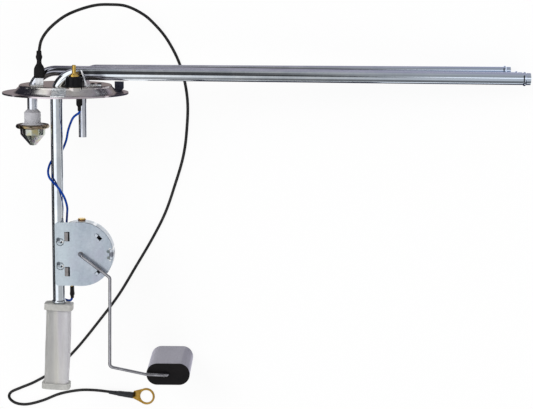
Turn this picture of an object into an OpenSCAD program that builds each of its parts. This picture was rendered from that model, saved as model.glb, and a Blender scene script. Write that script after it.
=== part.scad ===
// Fuel tank sending unit: a domed flange with three steel lines, a float-driven level sender,
// an intake strainer and a rollover valve. Drawn as installed, flange axis up, then laid on its back.

/* [Flange] */
// Outside diameter of the flange rim
flange_d = 100; // [96:1:120]
// Sheet thickness of the flange
flange_t = 1.3; // [1:0.1:1.6]
// Diameter of the dome at its foot
dome_d = 81; // [81:1:86]
// Height of the dome's top over the seat plane
dome_h = 7.5; // [6:0.5:10]
// How far the dome's wall leans in
dome_draft = 3.4; // [3:0.1:3.6]
// Outer radius of the dome's top edge
dome_round = 1.8; // [1.5:0.1:2.4]
// Width of the locating key on the dome's front
key_w = 11; // [8:0.5:14]
// Thickness of the locating key
key_t = 1; // [0.8:0.1:1.4]
// How far the key's foot reaches over the rim
key_foot = 8.6; // [6:0.2:9]
// Width of the stop tab on the rim
stop_w = 7.3; // [5:0.1:9]
// Height of the stop tab over the rim
stop_h = 7.4; // [5:0.1:9]
// Thickness of the stop tab
stop_t = 1; // [0.8:0.1:1.6]
// Distance of the stop tab's middle from the dome's foot
stop_gap = 3.9; // [3.8:0.1:5]
// Bearing of the stop tab round the rim
stop_at = 22; // [10:1:40]

/* [Feed tube] */
// Outside diameter of the feed tube
feed_d = 9.53; // [8:0.01:9.8]
// Place of the feed tube across the flange
feed_x = -5; // [-6:0.5:-4]
// Place of the feed tube from front to back
feed_y = -17.6; // [-18:0.1:-17.4]
// Height of the feed tube's run over the seat plane
feed_run = 17; // [16:0.5:24]
// How far the feed tube's run droops, in degrees
feed_droop = 0.15; // [0:0.05:1]
// Where the feed tube ends
feed_end = 367; // [300:1:420]
// Lowest point of the feed tube
feed_low = -173.4; // [-176:0.2:-170]
// Centreline radius of the feed tube's bend
feed_bend = 18; // [17:0.5:19]

/* [Vent tube] */
// Outside diameter of the vent tube
vent_d = 7.94; // [6:0.01:8]
// Place of the vent tube across the flange
vent_x = -25.5; // [-28:0.5:-24]
// Place of the vent tube from front to back
vent_y = -7.6; // [-7.8:0.1:-7.4]
// Height of the vent tube's run over the seat plane
vent_run = 18.8; // [18:0.5:24]
// How far the vent tube's run droops, in degrees
vent_droop = 0.3; // [0:0.05:1]
// Where the vent tube ends
vent_end = 362; // [300:1:420]
// Centreline radius of the vent tube's bend
vent_bend = 19.5; // [18.5:0.5:20.5]

/* [Return tube] */
// Outside diameter of the return tube
return_d = 6.35; // [5:0.01:6.5]
// Place of the return tube across the flange
return_x = 13.3; // [12:0.5:16]
// Place of the return tube from front to back
return_y = 0.2; // [0:0.1:2]
// Height of the return tube's run over the seat plane
return_run = 20; // [18:0.5:24]
// How far the return tube's run droops, in degrees
return_droop = -0.2; // [-0.6:0.05:0.6]
// Where the return tube ends
return_end = 354; // [300:1:400]
// Lowest point of the return tube
return_low = -34.8; // [-60:0.5:-20]
// Centreline radius of the return tube's bend
return_bend = 12; // [10:0.5:12.5]

/* [Tubes] */
// Wall of the steel tubes
tube_wall = 0.9; // [0.6:0.1:1.2]
// How far the hose beads stand out
bead_h = 0.8; // [0.4:0.1:1]
// Length of a hose bead
bead_w = 2.6; // [2:0.1:3]
// Distance from a tube's end to the middle of its bead
bead_back = 4.6; // [4:0.1:8]
// Width of the braze fillets at the flange
braze_w = 1.3; // [1.2:0.1:1.6]
// Height of the braze fillets at the flange
braze_h = 1.2; // [0.8:0.1:1.6]
// Clearance of a tube in its hole
tube_fit = 0.1; // [0.08:0.01:0.2]

/* [Tube bracket] */
// Sheet thickness of the tube bracket
bracket_t = 1.2; // [1:0.1:1.6]
// Left face of the bracket's upright
bracket_x = 19.4; // [19:0.1:20]
// Height of the bracket's upright over the dome
bracket_h = 13; // [11:0.5:14]
// How far the bracket's upright leans to the left at its top
bracket_tip = 4.4; // [3:0.1:4.8]
// Length of the bracket's foot
bracket_foot = 11; // [10:0.1:11.2]
// Width of the bracket's foot
bracket_foot_w = 6; // [5:0.1:6.2]
// How far the bracket's foot stands back from the upright's front edge
bracket_foot_in = 7; // [6.8:0.1:8]
// How far the bracket stands out in front of the feed tube
bracket_lip = 2.2; // [1.5:0.1:3]
// Diameter of the two rivets in the bracket's foot
rivet_d = 2.6; // [2:0.1:3.2]

/* [Terminals] */
// Place of the signal stud across the flange
stud_x = 10.6; // [10:0.1:11.5]
// Place of the signal stud from front to back
stud_y = -29.2; // [-29.8:0.1:-29]
// Diameter of the signal stud
stud_d = 3.2; // [3:0.1:4]
// Height of the stud over its collar
stud_h = 6.6; // [5:0.1:9]
// Diameter of the stud's collar
collar_d = 8; // [7:0.1:9]
// Thickness of the stud's collar
collar_t = 2.4; // [1.5:0.1:3]
// Diameter of the insulator at its foot
insulator_d = 14.4; // [13.6:0.1:14.6]
// Diameter of the insulator at its top
insulator_top_d = 12; // [10:0.1:12.4]
// Height of the insulator
insulator_h = 8.3; // [6:0.1:10]
// Diameter of the rubber seal under the dome
seal_d = 8.2; // [6:0.1:8.3]
// Thickness of the rubber seal under the dome
seal_h = 3; // [2:0.2:3.4]
// Width of the earth blade
blade_w = 6.3; // [5:0.1:6.6]
// How far the signal blade hangs to the right of its stud
blade_out = 3.9; // [3:0.1:4.4]
// Width of the signal blades
small_blade_w = 3.8; // [3:0.1:4.2]
// Length of the signal lead's upper boot
upper_boot_h = 12; // [10:0.5:13]
// Length of the signal lead's lower boot
lower_boot_h = 9.7; // [9:0.1:11]
// Thickness of the blades
blade_t = 0.8; // [0.6:0.1:1]
// Place of the earth blade across the flange
earth_x = -18.1; // [-18.6:0.1:-17.5]
// Place of the earth blade from front to back
earth_y = -17.4; // [-18:0.1:-17]
// Height of the earth blade over the dome
earth_h = 14; // [12:0.5:15]
// Height of the earth lead's boot
boot_h = 21.4; // [20:0.2:24]
// Height of the boot's mouth over the dome
boot_gap = 6; // [4:0.5:7]

/* [Sender] */
// Radius of the sender plate's round side
plate_r = 25.6; // [24:0.1:27]
// Thickness of the sender plate
plate_t = 0.9; // [0.7:0.1:1.2]
// Place of the arm's pivot across the unit
pivot_x = 13.5; // [13:0.1:15]
// Depth of the arm's pivot under the seat plane
pivot_low = 126; // [110:1:130]
// How far the plate reaches left of the pivot
plate_left = 20.5; // [19.5:0.1:22]
// Radius of the plate's left corners
plate_round = 2.5; // [1:0.1:4]
// Depth of the housing behind the plate
housing_h = 13.8; // [12:0.1:14]
// How far the housing's wall stands out past the plate
housing_lip = 0.4; // [0:0.1:0.8]
// Wall of the housing
housing_wall = 0.9; // [0.7:0.1:1.2]
// Rounding of the housing's back edge
housing_round = 2; // [1.5:0.1:3]
// Thickness of the resistor's strip
card_t = 1.2; // [1:0.1:1.6]
// Height of the resistor's strip
card_h = 7; // [5:0.1:8]
// Thickness of the resistance winding
winding_t = 0.8; // [0.5:0.1:1]
// Diameter of the sender's two terminal rivets
post_d = 2.4; // [2:0.1:2.8]
// Diameter of the terminal rivets' heads
post_head_d = 5.8; // [5:0.1:6.2]
// Thickness of the terminal rivets' heads
post_head_t = 0.7; // [0.5:0.1:1]
// Diameter of the terminal rivets' insulating washers
washer_d = 6.4; // [5.6:0.1:7]
// Thickness of the insulating washers
washer_t = 0.6; // [0.4:0.1:0.8]
// Length of the blade on the lower terminal
low_blade_h = 7.5; // [6:0.1:8]
// Outside diameter of the pivot's bush
bush_d = 4.3; // [4:0.1:6]

/* [Arm and float] */
// Diameter of the float arm's wire
wire_d = 2.5; // [2:0.1:2.8]
// Clear height of the arm over the plate
arm_gap = 2.4; // [2.4:0.1:3]
// Inner bend radius of the arm, on its centreline
arm_bend = 3; // [2.6:0.1:3]
// Running clearance of the pins, all round
pin_fit = 0.06; // [0.02:0.01:0.1]
// Length of the float across the arm
float_w = 35; // [30:0.5:40]
// Height of the float
float_h = 17.8; // [14:0.2:20]
// Depth of the float from front to back
float_l = 56; // [40:1:57]
// Rounding of the float's long edges
float_round = 8; // [5:0.1:8.8]
// How far the float moves from its low stop to its high stop, in degrees
float_travel = 82; // [40:1:84]
// Outside diameter of the push-on clip
clip_d = 8; // [6:0.2:9]
// Thickness of the push-on clip
clip_t = 0.6; // [0.5:0.1:1]

/* [Strainer] */
// Width of the strainer's cap and base
cap_w = 22.8; // [22:0.2:25]
// Depth of the strainer's cap and base, front to back
cap_deep = 15; // [14.4:0.2:18]
// Height of the strainer's cap
cap_h = 5; // [4:0.2:7]
// How far the sock stands back from the edge of the cap
sock_inset = 1.7; // [1.2:0.1:1.8]
// Thickness of the sock's cloth
sock_t = 0.9; // [0.6:0.1:1]
// Length of the sock between cap and base
sock_l = 60.6; // [50:0.2:80]
// Height of the strainer's base
base_h = 4.7; // [3.5:0.1:6]
// Rounding of the strainer's corners, seen along its axis
strainer_round = 5.5; // [5:0.1:6]
// Lean of the strainer, in degrees
strainer_lean = 2.6; // [0:0.1:2.8]
// How deep the feed tube reaches into the strainer
tube_in = 6.4; // [5:0.1:6.4]
// Number of hoops in the strainer's frame
hoop_n = 5; // [3:1:8]
// Thickness of the bars of the strainer's frame
bar_t = 1.4; // [1:0.1:1.6]

/* [Rollover valve] */
// Diameter of the valve's bell
bell_d = 13; // [12:0.1:14]
// Height of the bell
bell_h = 12.6; // [11:0.1:14]
// Top of the bell under the seat plane
bell_low = 12; // [10:0.2:16]
// Diameter of the valve's crimped rim
rim_d = 26.8; // [25:0.2:28]
// Thickness of the valve's crimped rim
rim_t = 3.4; // [2.8:0.1:4]
// Diameter of the valve's cup
cup_d = 20; // [18:0.2:21]
// Height of the cup's straight wall
cup_h = 4.8; // [4:0.1:6]
// Height of the cup's cone
cone_h = 8.6; // [7:0.1:10]
// Diameter of the hole in the cup's tip
tip_d = 5; // [4:0.1:6]
// Travel of the valve's plunger
plunger_travel = 2.5; // [1:0.1:2.8]

/* [Leads] */
// Diameter of the black earth lead
earth_d = 2.4; // [2:0.1:2.8]
// Diameter of the blue signal lead
signal_d = 1.8; // [1.4:0.1:2]
// Radius of the ring terminal
ring_r = 7.1; // [6.8:0.1:8]
// Radius of the ring terminal's hole
ring_hole_r = 5.4; // [4:0.1:5.6]
// Thickness of the ring terminal
ring_t = 1; // [0.8:0.1:1.4]
// Length of the heat-shrink sleeve
sleeve_l = 21; // [16:0.5:24]
// Diameter of the heat-shrink sleeve at the terminal
sleeve_d = 5.6; // [4:0.1:6]

/* [Hidden] */
$fn = 48;
eps = 0.01;

// Where the pieces meet
rim_top = flange_t;
bracket_front = feed_y - feed_d / 2 - bracket_lip;
bracket_back = return_y - return_d / 2 - 0.7;
foot_front = bracket_front + bracket_foot_in;
rivet_head = 1;
bracket_rivet_x = [bracket_x + bracket_t + 2.8, bracket_x + bracket_foot - 1.8];
bracket_rivet_y = foot_front + bracket_foot_w / 2;

dome_r = dome_d / 2;
dome_top_r = dome_r - dome_draft;
plate_front = feed_y - feed_d / 2 - plate_t - 0.05;
housing_left = pivot_x - (feed_x + feed_d / 2 + 0.5);
housing_r = plate_r + housing_lip;
insulator_low = dome_h;
collar_low = insulator_low + insulator_h;
seal_low = dome_h - flange_t - seal_h;
boot_low = dome_h + boot_gap;
strainer_z = feed_low + tube_in;

// The float arm's corners, from the pivot: right, up, towards the viewer
arm_z = arm_gap + wire_d / 2;
arm_in = -11;
elbow_out = [23.5, -18];
elbow_low = [22.8, -91];
toe_in = [51.6, -97];
toe = [69.3, -97.8];
float_front = arm_z - arm_bend - 0.5;
clip_play = 0.3;
clip_in = 3.2;
float_back = float_front - float_l;
arm_points = [
  [0, 0, arm_in],
  [0, 0, arm_z],
  [elbow_out[0], elbow_out[1], arm_z],
  [elbow_low[0], elbow_low[1], arm_z],
  [toe_in[0], toe_in[1], arm_z],
  [toe[0], toe[1], arm_z],
  [toe[0], toe[1], float_back + 1]
];

// The bench touches the flange's back rim, the return tube's far bead and the float's back corner
rest_tube_x = return_end - bead_back;
rest_tube_z = return_run - (rest_tube_x - return_x) * tan(return_droop);
rest_tube_y = return_y + return_d / 2 + bead_h;
rest_float_x = pivot_x + toe[0] + float_w / 2 - float_round * 0.7;
rest_float_z = -pivot_low + toe[1] - float_h / 2 + float_round * 0.3;
rest_float_y = plate_front - float_back;
function lie_on(rim) =
  let (
    det = rest_tube_z * rest_float_x - rest_float_z * rest_tube_x,
    tube = rest_tube_y - rim,
    corner = rest_float_y - rim
  )
  [(tube * rest_float_x - corner * rest_tube_x) / det, (tube * rest_float_z - corner * rest_tube_z) / det];
first_lie = lie_on(flange_d / 2);
lie = lie_on(flange_d / 2 * norm([1, first_lie[1]]));
tilt = atan(lie[0]);
roll = atan(lie[1] / norm([1, lie[0]]));

// The origin is on the seat face, at the side of the flange that lies lowest
home = [0, dome_r / 2 + flange_d / 4, 0];
module laid() rotate([-90 + tilt, roll, 0]) translate(-home) children();
module on_pivot() translate([pivot_x, plate_front, -pivot_low]) rotate([90, 0, 0]) children();

// Shared forms
function unit(v) = v / norm(v);
function bow(c, r, a0, a1, n) =
  [for (i = [0:n]) c + r * [cos(a0 + (a1 - a0) * i / n), sin(a0 + (a1 - a0) * i / n)]];

module rod(from, to, r) {
  d = to - from;
  translate(from)
    rotate([0, acos(d[2] / norm(d)), atan2(d[1], d[0])])
      cylinder(h = norm(d), r = r);
}

// One corner of a bent wire or tube, as a true torus piece that laps its straight neighbours
lap = 3;
swell = 0.06;
module elbow(a, b, c, bend, r) {
  u = unit(b - a);
  v = unit(c - b);
  turn = acos(u * v);
  n = unit(v - u * (u * v));
  w = cross(u, n);
  o = b - u * bend * tan(turn / 2) + n * bend;
  multmatrix([
    [-n[0], u[0], w[0], o[0]],
    [-n[1], u[1], w[1], o[1]],
    [-n[2], u[2], w[2], o[2]]
  ])
    rotate([0, 0, -lap]) rotate_extrude(angle = turn + 2 * lap) translate([bend, 0]) circle(r = r + swell);
}

function setback(p, i, bend) =
  i <= 0 || i >= len(p) - 1 ? 0
  : bend * tan(acos(unit(p[i] - p[i - 1]) * unit(p[i + 1] - p[i])) / 2);

// A round bar along the points, with rounded corners
module bent(p, bend, r) {
  for (i = [0:len(p) - 2]) {
    u = unit(p[i + 1] - p[i]);
    rod(p[i] + u * setback(p, i, bend), p[i + 1] - u * setback(p, i + 1, bend), r);
  }
  for (i = [1:len(p) - 2]) elbow(p[i - 1], p[i], p[i + 1], bend, r);
}

function run_points(x, y, low, run, droop, end) = [
  [x, y, low],
  [x, y, run],
  [end, y, run - (end - x) * tan(droop)]
];

module hose_bead(p, d) {
  u = unit(p[2] - p[1]);
  at = p[2] - u * bead_back;
  translate(at) rotate([0, acos(u[2]), 0])
    rotate_extrude() polygon([
      [d / 2 - 0.3, -bead_w / 2],
      [d / 2, -bead_w / 2],
      [d / 2 + bead_h, -bead_w / 6],
      [d / 2 + bead_h, bead_w / 6],
      [d / 2, bead_w / 2],
      [d / 2 - 0.3, bead_w / 2]
    ]);
}

module line_tube(p, d, bend) {
  u = unit(p[2] - p[1]);
  difference() {
    union() {
      bent(p, bend, d / 2);
      hose_bead(p, d);
    }
    bent([p[0] - [0, 0, 1], p[1], p[2] + u], bend, d / 2 - tube_wall);
  }
}

// Cord sweep: a smooth curve through the chosen points, with rings carried along it
function spline_at(a, b, c, d, t) =
  0.5 * (2 * b + (c - a) * t + (2 * a - 5 * b + 4 * c - d) * t * t + (3 * b - a - 3 * c + d) * t * t * t);
function spline(p, n) = [
  for (i = [0:len(p) - 2], j = [0:n - 1])
    spline_at(p[max(i - 1, 0)], p[i], p[i + 1], p[min(i + 2, len(p) - 1)], j / n),
  p[len(p) - 1]
];
function tangents(p) = [for (i = [0:len(p) - 1]) unit(p[min(i + 1, len(p) - 1)] - p[max(i - 1, 0)])];
function across(t, start) = [
  for (i = 0, n = unit(start - (start * t[0]) * t[0]); i < len(t);
    i = i + 1, n = i < len(t) ? unit(n - (n * t[i]) * t[i]) : n) n
];

module cord(points, steps, r, start, sides = 8) {
  path = spline(points, steps);
  t = tangents(path);
  n = across(t, start);
  rings = [
    for (i = [0:len(path) - 1], k = [0:sides - 1])
      path[i] + r * (cos(360 * k / sides) * n[i] + sin(360 * k / sides) * cross(t[i], n[i]))
  ];
  last = (len(path) - 1) * sides;
  polyhedron(
    points = rings,
    faces = concat(
      [[for (k = [0:sides - 1]) k]],
      [for (i = [0:len(path) - 2], k = [0:sides - 1])
        [i * sides + k, (i + 1) * sides + k, (i + 1) * sides + (k + 1) % sides, i * sides + (k + 1) % sides]],
      [[for (k = [sides - 1:-1:0]) last + k]]
    )
  );
}

// Flange and what is fixed to it
module flange() {
  top = dome_h - dome_round;
  color("lightslategray") laid() difference() {
    union() {
      rotate_extrude($fn = 96) polygon(concat(
        [[0, dome_h - flange_t]],
        [[dome_top_r - dome_round, dome_h - flange_t]],
        [[dome_top_r - flange_t, top]],
        [[dome_r - flange_t, 0]],
        [[flange_d / 2, 0]],
        [[flange_d / 2, rim_top]],
        [[dome_r + 1.2, rim_top]],
        [[dome_r, rim_top + 1]],
        bow([dome_top_r - dome_round, top], dome_round, 0, 90, 4),
        [[0, dome_h]]
      ));
      insulator_seat();
    }
    bent(hole_points(feed_points), feed_bend, feed_d / 2 + tube_fit);
    bent(hole_points(vent_points), vent_bend, vent_d / 2 + tube_fit);
    bent(hole_points(return_points), return_bend, return_d / 2 + tube_fit);
    translate([stud_x, stud_y, -1]) cylinder(h = dome_h + 2, r = stud_d / 2 + 1.6);
    bracket_holes(rivet_d / 2 + tube_fit);
  }
}

// The pressed seat under the insulator stands out of the dome's shoulder
module insulator_seat() {
  seat_top = dome_h - 0.05;
  intersection() {
    rotate_extrude($fn = 96) polygon([
      [dome_top_r - dome_round - 0.6, dome_h - 0.7],
      [dome_top_r - 0.7, dome_h - dome_round - 0.2],
      [dome_r - 0.6, rim_top + 0.2],
      [dome_r + 0.5, rim_top + 0.2],
      [dome_r + 0.5, seat_top],
      [dome_top_r - dome_round - 0.6, seat_top]
    ]);
    translate([stud_x, stud_y, 0]) cylinder(h = dome_h, r = insulator_d / 2 + 0.1);
  }
}

module bracket_holes(r)
  for (x = bracket_rivet_x) translate([x, bracket_rivet_y, -1]) cylinder(h = dome_h + 4, r = r);

module locating_key() {
  color("silver") laid() intersection() {
    rotate_extrude($fn = 96) polygon([
      [dome_r + 1.3, rim_top],
      [dome_r + key_foot, rim_top],
      [dome_r + key_foot, rim_top + key_t],
      [dome_r + key_t + 1.1, rim_top + key_t],
      [dome_top_r + key_t + 0.2, dome_h - dome_round + 0.2],
      [dome_top_r + key_t - 0.4, dome_h - 0.3],
      [dome_top_r - 0.3, dome_h - dome_round + 1.3],
      [dome_top_r + 0.2, dome_h - dome_round],
      [dome_r + 0.2, rim_top + 1.1]
    ]);
    translate([-key_w / 2, -flange_d, 0]) cube([key_w, flange_d, dome_h + 2]);
  }
}

module stop_tab() {
  color("dimgray") laid()
    rotate([0, 0, stop_at]) translate([dome_r + stop_gap, 0, rim_top]) rotate([0, 0, -stop_at])
      rotate([90, 0, 0]) linear_extrude(height = stop_t, center = true) polygon([
        [-stop_w / 2 + 1.6, 0],
        [stop_w / 2 - 1.6, 0],
        [stop_w / 2, stop_h * 0.25],
        [stop_w / 2, stop_h],
        [-stop_w / 2, stop_h],
        [-stop_w / 2, 1.4]
      ]);
}

module tube_bracket() {
  deep = bracket_back - bracket_front;
  color("gainsboro") laid() difference() {
    union() {
      translate([bracket_x, bracket_back, dome_h]) rotate([90, 0, 0]) linear_extrude(height = deep) polygon([
        [0, 0],
        [bracket_t, 0],
        [bracket_t - bracket_tip, bracket_h],
        [-bracket_tip, bracket_h]
      ]);
      translate([bracket_x, foot_front, dome_h]) cube([bracket_foot, bracket_foot_w, bracket_t]);
    }
    bracket_notch(feed_y, feed_run - (bracket_x - feed_x) * tan(feed_droop), feed_d);
    bracket_notch(vent_y, vent_run - (bracket_x - vent_x) * tan(vent_droop), vent_d);
    bracket_holes(rivet_d / 2 + tube_fit);
  }
}

module bracket_notch(y, z, d) {
  r = d / 2 + 0.1;
  wide = bracket_tip + bracket_t + 2;
  translate([bracket_x - bracket_tip - 1, y, z]) {
    rotate([0, 90, 0]) cylinder(h = wide, r = r);
    translate([0, -r, 0]) cube([wide, 2 * r, bracket_h]);
  }
}

module bracket_rivets() {
  color("silver") laid() for (x = bracket_rivet_x) translate([x, bracket_rivet_y, 0]) {
    translate([0, 0, dome_h - flange_t - 0.8]) cylinder(h = 0.8, r = rivet_d / 2 + rivet_head);
    translate([0, 0, dome_h - flange_t - eps]) cylinder(h = flange_t + bracket_t + 2 * eps, r = rivet_d / 2);
    translate([0, 0, dome_h + bracket_t])
      cylinder(h = 0.9, r1 = rivet_d / 2 + rivet_head - 0.1, r2 = rivet_d / 2);
  }
}

// Steel lines
feed_points = run_points(feed_x, feed_y, feed_low, feed_run, feed_droop, feed_end);
vent_points = run_points(vent_x, vent_y, -bell_low - 6, vent_run, vent_droop, vent_end);
return_points = run_points(return_x, return_y, return_low, return_run, return_droop, return_end);
function hole_points(p) = [p[0], p[1], p[1] + unit(p[2] - p[1]) * 30];

module feed_tube() {
  color("lightsteelblue") laid() {
    line_tube(feed_points, feed_d, feed_bend);
    translate([feed_x, feed_y, strainer_z + 1.6]) rotate_extrude() polygon([
      [feed_d / 2 - 0.2, -bead_w / 2],
      [feed_d / 2 + bead_h, -bead_w / 6],
      [feed_d / 2 + bead_h, bead_w / 6],
      [feed_d / 2 - 0.2, bead_w / 2]
    ]);
  }
}

module vent_tube() color("lightsteelblue") laid() line_tube(vent_points, vent_d, vent_bend);

module return_tube() color("lightsteelblue") laid() line_tube(return_points, return_d, return_bend);

module braze_rings() {
  color("darkkhaki") laid() {
    braze_ring(hole_points(feed_points), feed_d, feed_bend);
    braze_ring(hole_points(vent_points), vent_d, vent_bend);
    braze_ring(hole_points(return_points), return_d, return_bend);
  }
}

// A fillet ring follows its tube, which may already be bending where it leaves the dome
module braze_ring(p, d, bend) {
  low = dome_h - flange_t - braze_h;
  rise = max(0, low + braze_h / 2 - p[1][2] + bend);
  along = bend - sqrt(bend * bend - rise * rise);
  difference() {
    translate([p[0][0] + along, p[0][1], low])
      cylinder(h = braze_h, r1 = d / 2 + braze_w - 0.2, r2 = d / 2 + braze_w);
    bent(p, bend, d / 2 + 0.02);
  }
}

// Earth terminal and its lead
module ground_tab() {
  color("silver") laid() translate([earth_x, earth_y, dome_h]) {
    translate([-blade_w / 2, -blade_t / 2, 0]) cube([blade_w, blade_t, earth_h]);
    translate([-blade_w / 2 - 3.4, -3.2, 0]) cube([blade_w + 3.4, 6.4, blade_t]);
  }
}

// Its boot: a flat shoe over the blade, then a round neck with one bump
shoe_h = 12;
shoe_w = blade_w + 2.1;
shoe_deep = 5.6;
shoe_wide_at = 2;
shoe_wide_h = 5;
shoe_neck_r = 2.1;
shoe_neck_h = 1;
shoe_blade_in = 9;
neck_r = 2;
bump_r = 2.5;
bump_h = 2.6;
bump_down = 6;
module ground_boot() {
  color("dimgray") laid() translate([earth_x, earth_y, boot_low]) difference() {
    union() {
      hull() {
        translate([-shoe_w / 2 + 1, -2, 0]) cube([shoe_w - 2, 4, 0.1]);
        translate([-shoe_w / 2, -shoe_deep / 2, shoe_wide_at]) cube([shoe_w, shoe_deep, shoe_wide_h]);
        translate([0, 0, shoe_h - shoe_neck_h]) cylinder(h = shoe_neck_h, r = shoe_neck_r, $fn = 24);
      }
      translate([0, 0, shoe_h - eps]) cylinder(h = boot_h - shoe_h + eps, r = neck_r);
      translate([0, 0, boot_h - bump_down]) cylinder(h = bump_h, r = bump_r);
    }
    translate([-blade_w / 2 - 0.1, -blade_t / 2 - 0.1, -1])
      cube([blade_w + 0.2, blade_t + 0.2, shoe_blade_in + 1]);
  }
}

// Route of the earth lead as laid, from the boot down to the bench, round and into the sleeve
ground_points = [
  [-9.5, 32, 65.3], [-8, 41, 64.3], [-3.5, 49, 61.8], [3, 56, 57.3], [10, 61.5, 51.8],
  [19, 66, 42.8], [28.5, 69, 32.8], [38, 69.5, 23.8], [48, 68.5, 14.8], [58, 63.5, 6.8],
  [67, 56, 1.3], [79, 41, -3.2], [90, 19, -3.9], [95.5, -7, -3.9], [95, -33, -3.9],
  [92, -55, -3.9], [85, -79, -3.9], [77, -102, -3.9], [66, -124, -3.9], [52, -148, -3.9],
  [37, -173, -3.9], [20, -196, -3.9], [0, -221, -3.9], [-19, -240, -3.9], [-36, -251, -3.9],
  [-49, -257, -3.9], [-58, -261.5, -3.9], [-59.5, -266.5, -3.9], [-54, -270.8, -3.9], [-44, -271.5, -3.9],
  [-30, -267.5, -3.9], [-15, -261, -3.9], [2, -257, -3.5], [16, -256.2, -2.8], [30, -257, -2.3]
];
module ground_lead() color("black") cord(ground_points, 2, earth_d / 2, [0, 0, 1]);

// A boot for a blade that stands edge on: a cord's neck, a cone and a slotted, flat-sided mouth
small_blade_h = 8;
boot_neck = 3;
boot_neck_r = 1.35;
boot_cone = 1.2;
boot_deep = 6;
module blade_boot(h, blade_in, wide) {
  mouth = boot_neck + boot_cone;
  difference() {
    union() {
      cylinder(h = boot_neck, r = boot_neck_r);
      intersection() {
        union() {
          translate([0, 0, boot_neck - eps]) cylinder(h = boot_cone, r1 = boot_neck_r, r2 = boot_deep / 2);
          translate([0, 0, mouth - 2 * eps]) cylinder(h = h - mouth, r = boot_deep / 2);
        }
        translate([-wide / 2, -boot_deep, boot_neck - 2 * eps]) cube([wide, 2 * boot_deep, h]);
      }
    }
    translate([-blade_t / 2 - 0.1, -small_blade_w / 2 - 0.1, h - blade_in - 0.3])
      cube([blade_t + 0.2, small_blade_w + 0.2, blade_in + 1]);
  }
}

// The ring terminal lies flat on the bench, turned to the lead's end
ring_at = [60.5, -260, -4.6];
ring_turn = -5;
ring_tongue = 5.5;
ring_tongue_w = 4;
module at_ring() translate(ring_at) rotate([0, 0, ring_turn]) children();

// The sleeve rides over the terminal's crimp, its underside on the bench
sleeve_rise = sleeve_d / 2 - ring_t / 2;
module lead_sleeve()
  color("black") at_ring()
    translate([-ring_r - ring_tongue + 1.5, 0, sleeve_rise]) rotate([0, -90, 0]) difference() {
    union() {
      cylinder(h = sleeve_l * 0.6, r = sleeve_d / 2);
      translate([0, 0, sleeve_l * 0.6 - eps])
        cylinder(h = sleeve_l * 0.12, r1 = sleeve_d / 2, r2 = sleeve_d / 2 - 0.9);
      translate([0, 0, sleeve_l * 0.72 - 2 * eps])
        cylinder(h = sleeve_l * 0.28, r1 = sleeve_d / 2 - 0.9, r2 = earth_d / 2 + 0.4);
    }
    translate([-sleeve_rise - ring_t / 2 - 0.05, -ring_tongue_w, -1])
      cube([ring_t + 0.1, 2 * ring_tongue_w, 3.5]);
  }

module ring_terminal()
  color("goldenrod") at_ring() difference() {
    union() {
      cylinder(h = ring_t, r = ring_r, center = true);
      linear_extrude(height = ring_t, center = true) polygon([
        [-ring_r * 0.4, ring_r * 0.9],
        [-ring_r * 0.4, -ring_r * 0.9],
        [-ring_r - ring_tongue + 2.2, -ring_tongue_w * 0.8],
        [-ring_r - ring_tongue + 1.7, -ring_tongue_w / 2],
        [-ring_r - ring_tongue, -ring_tongue_w / 2],
        [-ring_r - ring_tongue, ring_tongue_w / 2],
        [-ring_r - ring_tongue + 1.7, ring_tongue_w / 2],
        [-ring_r - ring_tongue + 2.2, ring_tongue_w * 0.8]
      ]);
    }
    cylinder(h = 2 * ring_t, r = ring_hole_r, center = true);
  }

// Signal terminal through the flange
module terminal_insulator() {
  color("black") laid() translate([stud_x, stud_y, insulator_low]) rotate_extrude() polygon([
    [stud_d / 2 + 0.05, 0],
    [insulator_d / 2, 0],
    [insulator_d / 2, 1.4],
    [insulator_top_d / 2 + 0.4, insulator_h - 1],
    [insulator_top_d / 2 - 0.6, insulator_h],
    [stud_d / 2 + 0.05, insulator_h]
  ]);
}

// The inner blade hangs beside its stud, edge on to the front, and its boot with it
tongue_t = 1.2;
module at_blade() translate([stud_x + blade_out, stud_y, seal_low - tongue_t]) children();

module signal_stud() {
  color("goldenrod") laid() {
    translate([stud_x, stud_y, 0]) {
      translate([0, 0, seal_low - tongue_t])
        cylinder(h = collar_low + tongue_t - seal_low + eps, r = stud_d / 2);
      translate([0, 0, seal_low - tongue_t]) cylinder(h = tongue_t, r = 3.2);
      translate([0, -small_blade_w / 2, seal_low - tongue_t])
        cube([blade_out + blade_t / 2, small_blade_w, tongue_t]);
      translate([0, 0, collar_low]) cylinder(h = collar_t * 0.5, r = collar_d / 2);
      translate([0, 0, collar_low + collar_t * 0.5 - eps])
        cylinder(h = collar_t * 0.5 + eps, r1 = collar_d / 2 - 0.6, r2 = stud_d / 2 + 0.6);
      translate([0, 0, collar_low + collar_t - eps]) cylinder(h = stud_h - 0.5 + eps, r = stud_d / 2);
      translate([0, 0, collar_low + collar_t + stud_h - 0.5])
        cylinder(h = 0.5, r1 = stud_d / 2, r2 = stud_d / 2 - 0.5);
    }
    at_blade() translate([-blade_t / 2, -small_blade_w / 2, -small_blade_h])
      cube([blade_t, small_blade_w, small_blade_h + 0.5]);
  }
}

module stud_seal()
  color("black") laid() translate([stud_x, stud_y, seal_low]) difference() {
    union() {
      translate([0, 0, 1]) cylinder(h = seal_h - 1, r = seal_d / 2);
      cylinder(h = 1, r1 = seal_d / 2 - 1, r2 = seal_d / 2);
    }
    translate([0, 0, -1]) cylinder(h = seal_h + 2, r = stud_d / 2 + 0.05);
  }

module upper_boot()
  color("black") laid() at_blade() translate([0, 0, -upper_boot_h - 1])
    blade_boot(upper_boot_h, small_blade_h, 4.6);

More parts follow.
